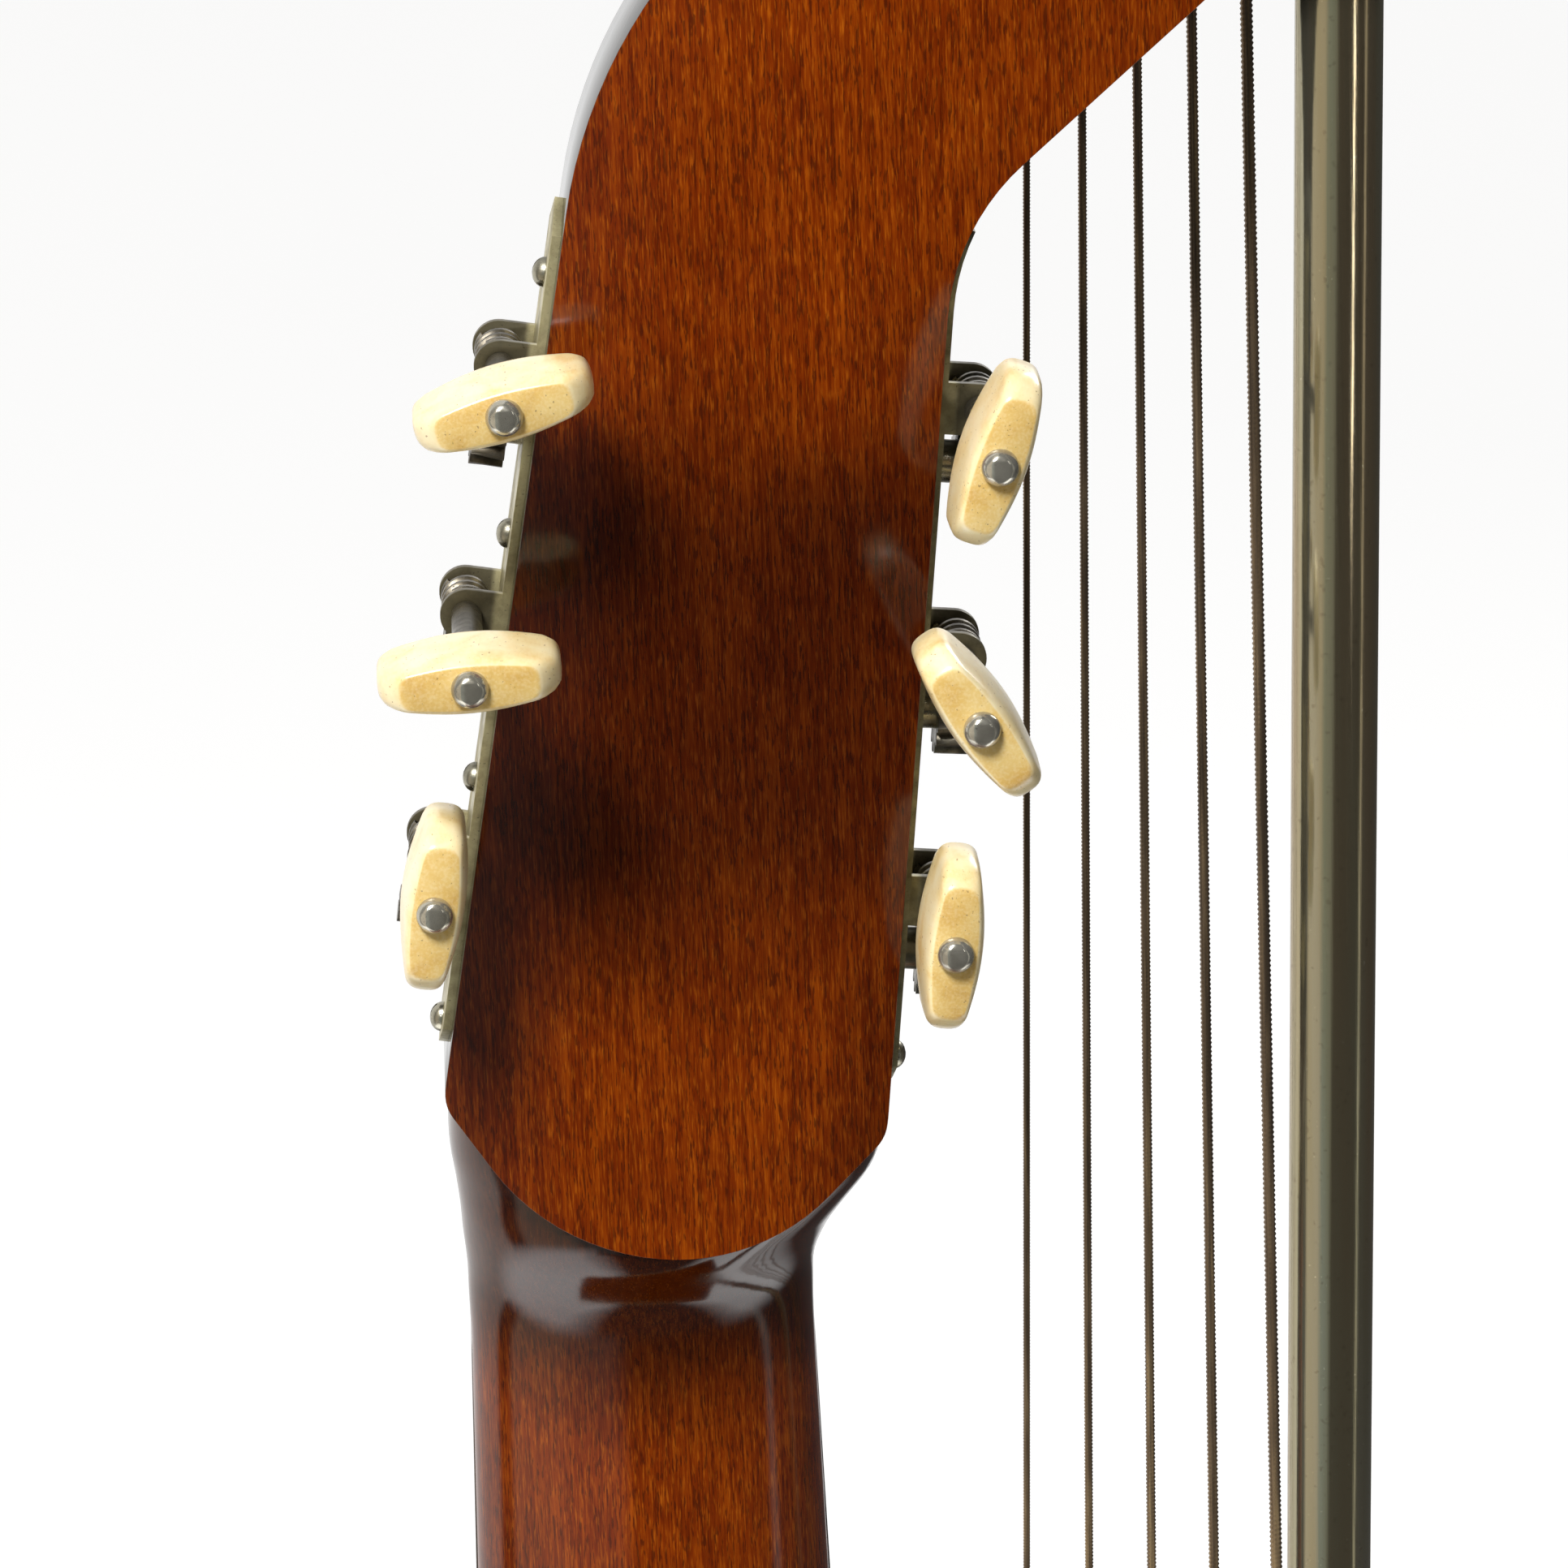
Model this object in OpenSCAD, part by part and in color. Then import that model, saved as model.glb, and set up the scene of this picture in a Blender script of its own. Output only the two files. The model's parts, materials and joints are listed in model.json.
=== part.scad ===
// Harp guitar with a slotted neck head, a curved arm that carries a second
// slotted head for five sub-bass strings, and a metal column that props the arm.
// +Z runs up the neck, -Y is the playing side, +X is the treble side.
// The origin is on the end pin at the bottom of the body.

/* [Scale and strings] */
// Vibrating length of the six fretted strings
scale_len = 645; // [600:1:670]
// Spacing of the fretted strings at the saddle
main_spread = 12; // [10:0.5:12]
// Spacing of the fretted strings at the nut
main_nut_pitch = 8.2; // [7.5:0.1:8.4]
// Spacing of the sub-bass strings at the saddle
bass_spread = 13.4; // [12:0.1:13.6]
// Spacing of the sub-bass strings at their nut
bass_nut_pitch = 7.4; // [7:0.1:7.6]
// Number of frets
fret_count = 19; // [17:1:19]

/* [Body] */
// Depth of the body over both plates
body_depth = 92; // [80:1:100]
// Distance from the bottom of the body to the saddle
saddle_up = 165; // [155:1:170]
// Thickness of the soundboard and of the back
plate_t = 3; // [2.4:0.1:4]
// Thickness of the bent ribs
rib_t = 2.2; // [1.8:0.1:3]
// Radius of the soundhole
hole_r = 43; // [38:1:44]

/* [Neck and head] */
// Half of the fingerboard's width at the nut
nut_half = 24.6; // [24:0.1:26]
// Half of the fingerboard's width at the body joint
joint_half = 33; // [29:0.5:33]
// Thickness of the fingerboard
board_t = 6; // [5:0.5:7]
// Thickness of the head, the arm and the second head
head_t = 24; // [22:0.5:26]
// Lean of the neck head towards the bass side, degrees
head_lean = 8; // [7:0.5:9]
// Radius of the head's rounded lower end
head_end_r = 32.4; // [32:0.1:34]
// Height of the sub-bass nut above the main nut
bass_nut_up = 213; // [211:1:216]
// Depth of the string slots in both heads
slot_depth = 21; // [19:0.5:21.5]

/* [Tuning machines] */
// Spacing of neighbouring machines
machine_pitch = 35; // [34:0.5:36]
// Thickness of the side plates
side_plate_t = 1.2; // [1:0.1:2]
// Width of the side plates
side_plate_w = 14; // [13.6:0.1:16]
// Teeth on each roller's gear
gear_teeth = 14; // [14:1:14]
// Pitch radius of each gear
gear_r = 6; // [6:0.1:6]
// Distance from the worm's axis to the roller's axis
centre_gap = 8.9; // [8.9:0.1:9]
// Radius of the worm's thread crest
worm_crest_r = 3.4; // [3.3:0.05:3.4]
// Radius of the worm's core
worm_root_r = 2.2; // [2:0.05:2.2]
// Length of a button across its shaft
button_len = 24.5; // [22:0.5:26]
// Depth of a button along its shaft
button_depth = 15; // [13:0.5:16]
// Thickness of a button at its middle
button_t = 8.8; // [8:0.1:10]

/* [Column] */
// Outer diameter of the column
column_d = 12; // [10:0.5:14]
// Wall of the column's tube
column_wall = 1.2; // [0.8:0.1:2]

/* [Hidden] */
$fn = 96;
TUNERS = 11;

// Heights along Z
body_z0 = 3;
saddle_z = body_z0 + saddle_up;
nut_z = saddle_z + scale_len;
joint_z = nut_z - scale_len / 2;
body_len = joint_z - body_z0;
hole_z = joint_z - 160.5;
bass_nut_z = nut_z + bass_nut_up;

// Depths along Y
front_y = -body_depth / 2;
back_y = body_depth / 2;
board_y = front_y - board_t;
head_back_y = front_y + head_t;
mid_y = front_y + head_t / 2;
bridge_y = front_y - 8.5;
saddle_y = front_y - 12;
nut_y = board_y - 1.8;

// Body outline: half width against height above the bottom of the body
OUTLINE = [[0, 0], [55, 3], [110, 18], [155, 52], [180, 97], [186, 140], [178, 185],
    [156, 225], [132, 258], [121, 290], [124, 323], [135, 356], [142, 390],
    [140, 420], [126, 450], [98, 473], [62, 484], [30, 487.5]];
binding_w = 1.8;
lining_w = 7;
lining_h = 12;

// Curves
function catmull(a, b, c, d, t) =
    0.5 * (2 * b + (c - a) * t + (2 * a - 5 * b + 4 * c - d) * t * t
        + (3 * b - a - 3 * c + d) * t * t * t);
function spline(p, steps) = [
    for (i = [0:len(p) - 2], k = [0:steps - 1])
        catmull(p[max(i - 1, 0)], p[i], p[i + 1], p[min(i + 2, len(p) - 1)], k / steps),
    p[len(p) - 1]];
function reverse(p) = [for (i = [len(p) - 1:-1:0]) p[i]];
function arc(centre, r, from, to, steps) = [
    for (k = [0:steps]) let (a = from + (to - from) * k / steps)
        centre + r * [cos(a), sin(a)]];
// A closed outline that runs counter-clockwise, moved inwards by d
function inset(p, d) = [
    for (i = [0:len(p) - 1])
        let (n = len(p), t = p[(i + 1) % n] - p[(i + n - 1) % n])
        p[i] + d * [-t[1], t[0]] / norm(t)];

half_outline = [for (q = spline(OUTLINE, 6)) [q[0], q[1] + body_z0]];
left_outline = [for (q = reverse(half_outline)) if (q[0] > 0.01) [-q[0], q[1]]];
body_outline = concat(half_outline, [[0, joint_z]], left_outline);
half_width_table = [for (q = half_outline) [q[1], q[0]]];
function half_width(z) = lookup(z, half_width_table);

// Extrudes an outline drawn in X and Z between two depths
module slab(y0, y1) {
    translate([0, y1, 0]) rotate([90, 0, 0]) linear_extrude(y1 - y0) children();
}

// Straight rod between two points
module rod(a, b, r) {
    d = b - a;
    translate(a) rotate([0, acos(d[2] / norm(d)), atan2(d[1], d[0])]) cylinder(h = norm(d), r = r);
}

module rod_along_y(x, z, y0, y1, r) {
    translate([x, y0, z]) rotate([-90, 0, 0]) cylinder(h = y1 - y0, r = r);
}

// ---------------------------------------------------------------- strings

main_diameters = [0.7, 0.8, 1.0, 0.8, 1.0, 1.2];
bass_diameters = [1.05, 1.25, 1.4, 1.55, 1.8];
bass_saddle_x0 = -40.4;
bass_nut_x0 = -61.4;

function string_d(i) = i < 6 ? main_diameters[i] : bass_diameters[i - 6];
function saddle_x(i) = i < 6 ? main_spread * (2.5 - i) : bass_saddle_x0 - bass_spread * (i - 6);
function nut_x(i) = i < 6 ? main_nut_pitch * (2.5 - i) : bass_nut_x0 - bass_nut_pitch * (i - 6);
nut_land = 1;
function string_nut_z(i) = nut_land + (i < 6 ? nut_z : bass_nut_z);

// Machines: head (0 neck, 1 bass), side (1 treble, -1 bass), height of the worm
// above that head's nut, slot position of the winding, angle of the button, and
// distance of the button's foot from the middle of the worm
first_worm = 70.2;
first_bass_worm = 62;
MACHINES = [
    [0, 1, first_worm, 16.5, 0, 18],
    [0, 1, first_worm + machine_pitch, 12.5, -77, 30],
    [0, 1, first_worm + 2 * machine_pitch, 8.5, -66, 22],
    [0, -1, first_worm + 2 * machine_pitch, 13.5, -15, 25],
    [0, -1, first_worm + machine_pitch, 14, 39, 28],
    [0, -1, first_worm, 17, -2, 16],
    [1, 1, first_bass_worm, 16, 12, 18],
    [1, 1, first_bass_worm + machine_pitch, 12, 64, 22],
    [1, 1, first_bass_worm + 2 * machine_pitch, 11, -20, 20],
    [1, -1, first_bass_worm + 1.5 * machine_pitch, 11, 70, 21],
    [1, -1, first_bass_worm + 0.5 * machine_pitch, 15.5, -30, 18]];

function machine_head(i) = MACHINES[i][0];
function machine_side(i) = MACHINES[i][1];
function worm_up(i) = MACHINES[i][2];
function roller_up(i) = MACHINES[i][2] - centre_gap;
function winding_u(i) = MACHINES[i][3];
function button_turn(i) = MACHINES[i][4];
function button_foot(i) = MACHINES[i][5];

// ------------------------------------------------------------------ heads

// Each head: its nut's middle, its lean, half width at the nut and side taper
main_head_x = 1.3;
bass_head_x = -74.9;
HEADS = [
    [[main_head_x, nut_z], head_lean, 32.37, 2.205],
    [[bass_head_x, bass_nut_z], 0, 30, 0]];

// A point of a head's own plane, as X and Z of the whole instrument
function head_point(h, u, v) =
    let (a = HEADS[h][1]) HEADS[h][0] + [u * cos(a) - v * sin(a), u * sin(a) + v * cos(a)];
function head_half(h, v) = HEADS[h][2] - v * tan(HEADS[h][3]);

// Slots of each head: inner and outer edge on the treble and on the bass side
SLOTS = [[[4.5, 19.5], [-21.5, -8.5]], [[3.5, 20], [-20, -7.5]]];
SLOT_ENDS = [[24, 147], [22, 136]];
web_bore = 4;
core_r = 4.5;
core_bore_r = 4.8;

module in_head(h) {
    translate([HEADS[h][0][0], 0, HEADS[h][0][1]]) rotate([0, -HEADS[h][1], 0]) children();
}

// Side frame of a head: X out of the wood, Z along the side, at the nut's level
module on_side(h, side) {
    in_head(h) mirror([side < 0 ? 1 : 0, 0, 0])
        translate([HEADS[h][2], 0, 0]) rotate([0, -HEADS[h][3], 0]) children();
}

module at_machine(i) {
    on_side(machine_head(i), machine_side(i)) translate([0, mid_y, 0]) children();
}

// Outline of the heads and the arm. The arm's two edges are arcs that leave the
// neck head's sides without a kink.
arm_angle = 49.5;
treble_side_angle = HEADS[0][1] + HEADS[0][3];
bass_side_angle = HEADS[0][1] - HEADS[0][3];
outer_arc_r = 68;
outer_arc_v = 163;
inner_arc_r = 31;
inner_arc_v = 153.7;
inner_arc_steps = 10;
inner_arc_step = (arm_angle - bass_side_angle) / inner_arc_steps;
end_corner_v = 40;
arm_seat_up = 197;
arm_out = [-sin(arm_angle), cos(arm_angle)];
shoulder_r = 42;
crown_r = 42;
crown_up = 338;
bass_half = 30;

up = [0, nut_z];
// A point of the neck head's side edge, above the nut
function side_point(side, v) = head_point(0, side * head_half(0, v), v) - up;
function polar(r, a) = r * [cos(a), sin(a)];
outer_arc = side_point(1, outer_arc_v) - polar(outer_arc_r, treble_side_angle);
inner_arc = side_point(-1, inner_arc_v) - polar(inner_arc_r, bass_side_angle);
inner_start = inner_arc + polar(inner_arc_r, arm_angle);
bass_left = bass_head_x + bass_half;
bass_right = bass_head_x - bass_half;
shoulder_x = bass_left + shoulder_r * (1 - cos(arm_angle));

function along_arm(p, x) = p + arm_out * (p[0] - x) / sin(arm_angle);

outer_edge = concat(
    [side_point(1, end_corner_v)],
    arc(outer_arc, outer_arc_r, treble_side_angle, arm_angle, 14),
    let (s = along_arm(outer_arc + polar(outer_arc_r, arm_angle), shoulder_x))
    arc([bass_left + shoulder_r, s[1] + shoulder_r * sin(arm_angle)], shoulder_r,
        180 + arm_angle, 180, 12));
crown = arc([bass_head_x, crown_up], crown_r, acos(bass_half / crown_r),
    180 - acos(bass_half / crown_r), 20);
inner_edge = let (s = inner_start) concat(
    [[bass_right, 246], [bass_right - 6, 208], [bass_right - 6, arm_seat_up]],
    [along_arm(s, s[0] - (arm_seat_up - s[1]) * tan(arm_angle))],
    arc(inner_arc, inner_arc_r, arm_angle, bass_side_angle, inner_arc_steps),
    [side_point(-1, end_corner_v)]);

// Lower end of the neck head: two arcs that meet at the tip run straight into two
// round corners. Each side's arc has its own radius and the angle that it covers.
tip_up = 16.6;
tip_u = -1.2;
BASS_END = [28.4, 53];
TREBLE_END = [head_end_r, 49];
end_corner_r = 6;
function end_centre(e) = [tip_u, tip_up + e[0]];
function end_corner(side, e) =
    let (u = side * (head_half(0, end_corner_v) - end_corner_r),
         drop = side * (u - tip_u) * sin(e[1]) - e[0] + end_corner_r)
    [u, end_centre(e)[1] + drop / cos(e[1])];
lower_end = [for (q = concat(
    arc(end_corner(-1, BASS_END), end_corner_r, 180, 270 - BASS_END[1], 5),
    arc(end_centre(BASS_END), BASS_END[0], 270 - BASS_END[1], 270, 12),
    arc(end_centre(TREBLE_END), TREBLE_END[0], 270 + TREBLE_END[1] / 11, 270 + TREBLE_END[1], 10),
    arc(end_corner(1, TREBLE_END), end_corner_r, 270 + TREBLE_END[1], 360, 5)))
    head_point(0, q[0], q[1]) - up];

head_outline = [for (q = concat(lower_end, outer_edge, crown, inner_edge)) q + up];

module slot_shape(h, s) {
    a = SLOTS[h][s][0];
    b = SLOTS[h][s][1];
    r = (b - a) / 2;
    translate([a, SLOT_ENDS[h][0] + r]) square([b - a, SLOT_ENDS[h][1] - SLOT_ENDS[h][0] - 2 * r]);
    for (e = [SLOT_ENDS[h][0] + r, SLOT_ENDS[h][1] - r]) translate([a + r, e]) circle(r);
}

// Distance from a machine's side of the wood to the bottom of its web bore
function bore_end(i) =
    let (s = SLOTS[machine_head(i)][machine_side(i) > 0 ? 0 : 1])
    head_half(machine_head(i), roller_up(i)) - min(abs(s[0]), abs(s[1])) + web_bore;

module harp_head() {
    color([0.43, 0.17, 0.06]) difference() {
        slab(front_y, head_back_y) polygon(head_outline);
        for (h = [0, 1], s = [0, 1])
            in_head(h) slab(front_y - 1, front_y + slot_depth) slot_shape(h, s);
        for (i = [0:TUNERS - 1]) at_machine(i)
            translate([1, 0, roller_up(i)]) rotate([0, -90, 0])
                cylinder(h = bore_end(i) + 1, r = core_bore_r);
        for (p = PLATES, v = plate_screw_rows(p)) on_side(p[0], p[1])
            translate([1, mid_y, v]) rotate([0, -90, 0]) cylinder(h = screw_len + 1, r = screw_r);
        column_shape(column_d / 2, column_z1 - 40, column_z1);
    }
}

// ------------------------------------------------------- tuning machines

// Plates: head, side, number of machines, height of the first worm
PLATES = [
    [0, 1, 3, first_worm], [0, -1, 3, first_worm],
    [1, 1, 3, first_bass_worm], [1, -1, 2, first_bass_worm + machine_pitch / 2]];
plate_below = 28.2;
plate_above = 22.8;
plate_point = 4;
screw_below = 24.6;
screw_above = 10.5;
top_screw_rise = 1.8;
screw_r = 1.2;
screw_len = 8;
screw_head_r = 2.1;
worm_reach = 4.5;
worm_out = side_plate_t + worm_reach;
ear_t = 1.3;
ear_y = side_plate_w / 2 - ear_t / 2;
ear_r = 3.6;
journal_r = 1.7;
journal_play = 0.05;
roller_shaft_r = 3;
lead = 2 * PI * gear_r / gear_teeth;

function plate_screw_rows(p) = concat([p[3] - screw_below],
    [for (k = [0:p[2] - 1])
        p[3] + k * machine_pitch + screw_above + (k == p[2] - 1 ? top_screw_rise : 0)]);
function plate_top(p) = p[3] + (p[2] - 1) * machine_pitch + plate_above;

// The neck head's bass plate is bent round the start of the arm's inner edge
bend_steps = 5;

module plate_strip(v0, v1, low_point, high_point) {
    w = side_plate_w / 2;
    rotate([90, 0, 90]) linear_extrude(side_plate_t) polygon([
        [-w, v0 + low_point], [0, v0], [w, v0 + low_point],
        [w, v1 - high_point], [0, v1], [-w, v1 - high_point]]);
}

module ears(up_z) {
    for (y = [-ear_y, ear_y]) translate([0, y, 0]) difference() {
        union() {
            translate([side_plate_t, -ear_t / 2, up_z - ear_r])
                cube([worm_out - side_plate_t, ear_t, 2 * ear_r]);
            rod_along_y(worm_out, up_z, -ear_t / 2, ear_t / 2, ear_r);
        }
        rod_along_y(worm_out, up_z, -ear_t, ear_t, journal_r + journal_play);
    }
}

module tuner_plate(p) {
    bent = p[0] == 0 && p[1] < 0;
    on_side(p[0], p[1]) translate([0, mid_y, 0]) {
        difference() {
            plate_strip(p[3] - plate_below, bent ? inner_arc_v : plate_top(p), plate_point,
                bent ? 0 : plate_point);
            for (k = [0:p[2] - 1])
                translate([-1, 0, p[3] + k * machine_pitch - centre_gap]) rotate([0, 90, 0])
                    cylinder(h = side_plate_t + 2, r = roller_shaft_r + journal_play);
            for (v = plate_screw_rows(p)) translate([-1, 0, v]) rotate([0, 90, 0])
                cylinder(h = side_plate_t + 2, r = screw_r);
        }
        for (k = [0:p[2] - 1]) ears(p[3] + k * machine_pitch);
        if (bent) {
            centre = [inner_arc_r, inner_arc_v];
            end = 180 - bend_steps * inner_arc_step;
            slab(-side_plate_w / 2, side_plate_w / 2) polygon(concat(
                arc(centre, inner_arc_r, 180, end, bend_steps),
                arc(centre, inner_arc_r - side_plate_t, end, 180, bend_steps)));
        }
    }
}

module head_tuner_plates() {
    color([0.62, 0.6, 0.48]) for (k = [0, 1]) tuner_plate(PLATES[k]);
}

module bass_tuner_plates() {
    color([0.62, 0.6, 0.48]) for (k = [2, 3]) tuner_plate(PLATES[k]);
}

// The neck head's bass plate has flat screws above its lowest, domed one
function screw_head_h(p, v) = p[0] == 0 && p[1] < 0 && v > p[3] ? 0.5 : 1.7;

module plate_screws() {
    color([0.55, 0.54, 0.47]) for (p = PLATES, v = plate_screw_rows(p))
        on_side(p[0], p[1]) translate([side_plate_t, mid_y, v]) rotate([0, 90, 0]) {
            h = screw_head_h(p, v);
            translate([0, 0, -screw_len - side_plate_t]) cylinder(h = screw_len + side_plate_t, r = screw_r);
            difference() {
                rotate_extrude() polygon(concat([[0, 0], [screw_head_r, 0]],
                    [for (a = [15:15:90]) [screw_head_r * cos(a), h * sin(a)]]));
                translate([-3, -0.3, h - 0.8]) cube([6, 0.6, 2]);
            }
        }
}

// Worm: a right-handed single thread between the two ears
thread_len = 10;
thread_turns = thread_len / lead;
shaft_r = 2.1;
rivet_r = 2.5;

THREAD = [[-100, 0], [-50, 1], [-17, 1], [17, 1], [50, 1], [100, 0]];
thread_profile = concat(
    [for (q = THREAD) let (r = worm_root_r + q[1] * (worm_crest_r - worm_root_r))
        r * [cos(q[0]), sin(q[0])]],
    [for (a = [132, 164, 196, 228]) worm_root_r * [cos(a), sin(a)]]);

module worm(i) {
    color([0.3, 0.28, 0.25]) at_machine(i) translate([worm_out, 0, worm_up(i)]) {
        translate([0, -thread_len / 2, 0]) rotate([-90, 0, 0])
            rotate([0, 0, -90 - 180 * thread_turns])
                linear_extrude(thread_len, twist = -360 * thread_turns,
                    slices = round(10 * thread_turns), segments = len(thread_profile))
                    polygon(thread_profile);
        rod_along_y(0, 0, -side_plate_w / 2 - 1, side_plate_w / 2 + 0.3, journal_r);
        foot = button_foot(i);
        rod_along_y(0, 0, side_plate_w / 2 + 0.3, foot, shaft_r);
        rod_along_y(0, 0, foot, foot + button_depth, 1.5);
        translate([0, foot + button_depth, 0]) rotate([-90, 0, 0])
            rotate_extrude() polygon([[0, 0], [rivet_r, 0], [rivet_r, 0.5], [2.3, 1.3],
                [1.7, 2], [0, 2.3]]);
    }
}

// Button: a flat bar with bowed faces, cut off square at both ends and
// bevelled towards its outer face
module button(i) {
    end_t = 4.8;
    color([0.93, 0.85, 0.62]) at_machine(i) translate([worm_out, button_foot(i), worm_up(i)])
        rotate([0, machine_side(i) * button_turn(i), 0]) difference() {
            intersection() {
                slab(0, button_depth) polygon(concat(
                    bow(button_len / 2, end_t / 2, button_t / 2, 1),
                    bow(button_len / 2, end_t / 2, button_t / 2, -1)));
                rotate([90, 0, 90]) linear_extrude(button_t + 2, center = true) polygon([
                    [0, -button_len / 2 + 2.5], [3, -button_len / 2], [10, -button_len / 2],
                    [button_depth, -button_len / 2 + 3], [button_depth, button_len / 2 - 3],
                    [10, button_len / 2], [3, button_len / 2], [0, button_len / 2 - 2.5]]);
            }
            rod_along_y(0, 0, -1, button_depth + 1, 1.5);
        }
}

function bow(half_len, end_half_t, mid_half_t, side) = [
    for (k = [-6:6]) let (z = half_len * k / 6)
        side * [end_half_t + (mid_half_t - end_half_t) * cos(90 * k / 6), -z]];

// Gear: teeth tilted by the worm's lead angle, trimmed to the gear's width
gear_w = 4.6;
tooth_tip_r = centre_gap - worm_root_r - 0.25;
tooth_root_r = centre_gap - worm_crest_r - 0.3;
lead_angle = atan(lead / (2 * PI * (centre_gap - gear_r)));

module gear() {
    intersection() {
        union() {
            rotate([0, 90, 0]) cylinder(h = gear_w + 2, r = tooth_root_r, center = true);
            for (k = [0:gear_teeth - 1]) rotate([k * 360 / gear_teeth, 0, 0])
                rotate([0, 0, -lead_angle]) rotate([90, 0, 90])
                    linear_extrude(gear_w + 3, center = true) polygon([
                        [-0.95, tooth_root_r - 0.8], [0.95, tooth_root_r - 0.8],
                        [0.85, tooth_root_r], [0.32, tooth_tip_r], [-0.32, tooth_tip_r],
                        [-0.85, tooth_root_r]]);
        }
        rotate([0, 90, 0]) cylinder(h = gear_w, r = tooth_tip_r, center = true);
    }
}

winding_turns = 3.5;

module roller(i) {
    h = machine_head(i);
    wound = string_d(i) * winding_turns;
    place = winding_u(i) - head_half(h, roller_up(i));
    color([0.5, 0.48, 0.42]) at_machine(i) translate([0, 0, roller_up(i)]) {
        translate([worm_out, 0, 0]) gear();
        difference() {
            translate([worm_out + gear_w / 2, 0, 0]) rotate([0, 90, 0]) cylinder(h = 1.3, r = 2.6);
            translate([worm_out + gear_w / 2 + 0.6, -4, -0.35]) cube([2, 8, 0.7]);
        }
        rotate([0, 90, 0]) cylinder(h = worm_out - gear_w / 2, r = roller_shaft_r);
        translate([-bore_end(i) + 0.4, 0, 0]) rotate([0, 90, 0])
            cylinder(h = bore_end(i) - 0.4, r = core_r);
        translate([place - wound / 2, 0, 0]) rotate([0, 90, 0])
            cylinder(h = wound, r = core_r + string_d(i));
    }
}

// A machine's roller point in the instrument's frame, at a slot position
function roller_point(i) =
    let (h = machine_head(i), s = machine_side(i), q = head_point(h, s * winding_u(i), roller_up(i)))
    [q[0], mid_y, q[1]];

// Where a string stops just short of its winding
string_gap = 0.35;
function string_end(i) =
    let (a = [nut_x(i), nut_y - string_d(i) / 2, string_nut_z(i)],
        c = roller_point(i) - [0, core_r + string_d(i) / 2, 0],
        d = c - a,
        reach = sqrt(pow(core_r + string_d(i) + string_gap, 2) - pow(core_r + string_d(i) / 2, 2)))
    c - d / norm(d) * (reach + string_d(i) / 2);

function string_path(i) = [
    [saddle_x(i), bridge_y - string_d(i) / 2 - 0.05, saddle_z - 9],
    [saddle_x(i), saddle_y - string_d(i) / 2, saddle_z],
    [nut_x(i), nut_y - string_d(i) / 2, string_nut_z(i)],
    string_end(i)];

string_sides = 12;
function unit(v) = v / norm(v);
function direction(p, k) = unit((k > 0 ? unit(p[k] - p[k - 1]) : [0, 0, 0])
    + (k < len(p) - 1 ? unit(p[k + 1] - p[k]) : [0, 0, 0]));
// Rings of a round rod that bends at its inner points and runs mostly up
function tube_rings(p, r) = [
    for (k = [0:len(p) - 1])
        let (t = direction(p, k), side = unit(cross([0, 1, 0], t)), deep = cross(t, side))
        [for (j = [0:string_sides - 1]) let (a = 360 * j / string_sides)
            p[k] + r * (cos(a) * side + sin(a) * deep)]];

module string(i) {
    loft(tube_rings(string_path(i), string_d(i) / 2));
}

module strings_main() {
    color([0.75, 0.72, 0.62]) for (i = [0:5]) string(i);
}

module strings_bass() {
    color([0.35, 0.28, 0.2]) for (i = [6:TUNERS - 1]) string(i);
}

// ----------------------------------------------------------------- column

column_x0 = -97.7;
column_slope = 0.0193;
column_foot_z = nut_z - 333.7;
column_z0 = column_foot_z + 6;
column_z1 = nut_z + arm_seat_up + 16;

function column_x(z) = column_x0 - column_slope * (z - nut_z);

module column_shape(r, z0, z1) {
    rod([column_x(z0), mid_y, z0], [column_x(z1), mid_y, z1], r);
}

module column() {
    color([0.62, 0.62, 0.55]) difference() {
        column_shape(column_d / 2, column_z0, column_z1);
        column_shape(column_d / 2 - column_wall, column_z0 - 1, column_z1 + 1);
    }
}

module column_sockets() {
    seat_z = nut_z + arm_seat_up;
    color([0.6, 0.6, 0.54]) {
        difference() {
            union() {
                column_shape(8.2, column_foot_z - 12, column_foot_z + 20);
                column_shape(9, column_foot_z - 12, column_foot_z + 6);
            }
            column_shape(column_d / 2, column_z0, column_foot_z + 30);
            slab(front_y - 1, back_y) polygon(body_outline);
        }
        difference() {
            union() {
                column_shape(7.6, seat_z - 6, seat_z + 3);
                column_shape(9, seat_z - 2, seat_z + 3);
            }
            column_shape(column_d / 2, seat_z - 20, seat_z + 5);
            translate([-130, mid_y - 15, seat_z]) cube([60, 30, 10]);
        }
    }
}

// ------------------------------------------------------------------- neck

// Sections of the neck from the heel to the head: height above the nut, middle,
// half width, depth behind the fingerboard and how square the back is
SECTIONS = [
    [-scale_len / 2, 0, joint_half, body_depth - 4, 1.35],
    [-311, 0, joint_half - 0.2, 74, 1.42],
    [-299, 0, joint_half - 0.5, 50, 1.55],
    [-284, 0, joint_half - 0.8, 31, 1.8],
    [-262, 0, joint_half - 1.3, 22, 2.0],
    [-230, 0, joint_half - 2, 19, 2.0],
    [-120, 0, nut_half + 2.6, 17.5, 2.0],
    [-40, 0, nut_half + 0.9, 16.6, 2.0],
    [-6, 0, nut_half + 0.1, 16.2, 2.1],
    [4, 0, nut_half + 0.1, 17, 2.1],
    [9, -0.2, 24.9, 19.2, 2.1],
    [14, -1.1, 26.2, 22.3, 2.1],
    [18, -2.4, 27.7, 23.7, 2.2],
    [23, -4.1, 29.9, head_t, 2.3],
    [28, -4.4, 30.8, head_t, 2.5],
    [34, -4.3, 30.6, head_t, 2.8],
    [40, -4.3, 30.3, head_t, 3]];
section_points = 32;

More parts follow.
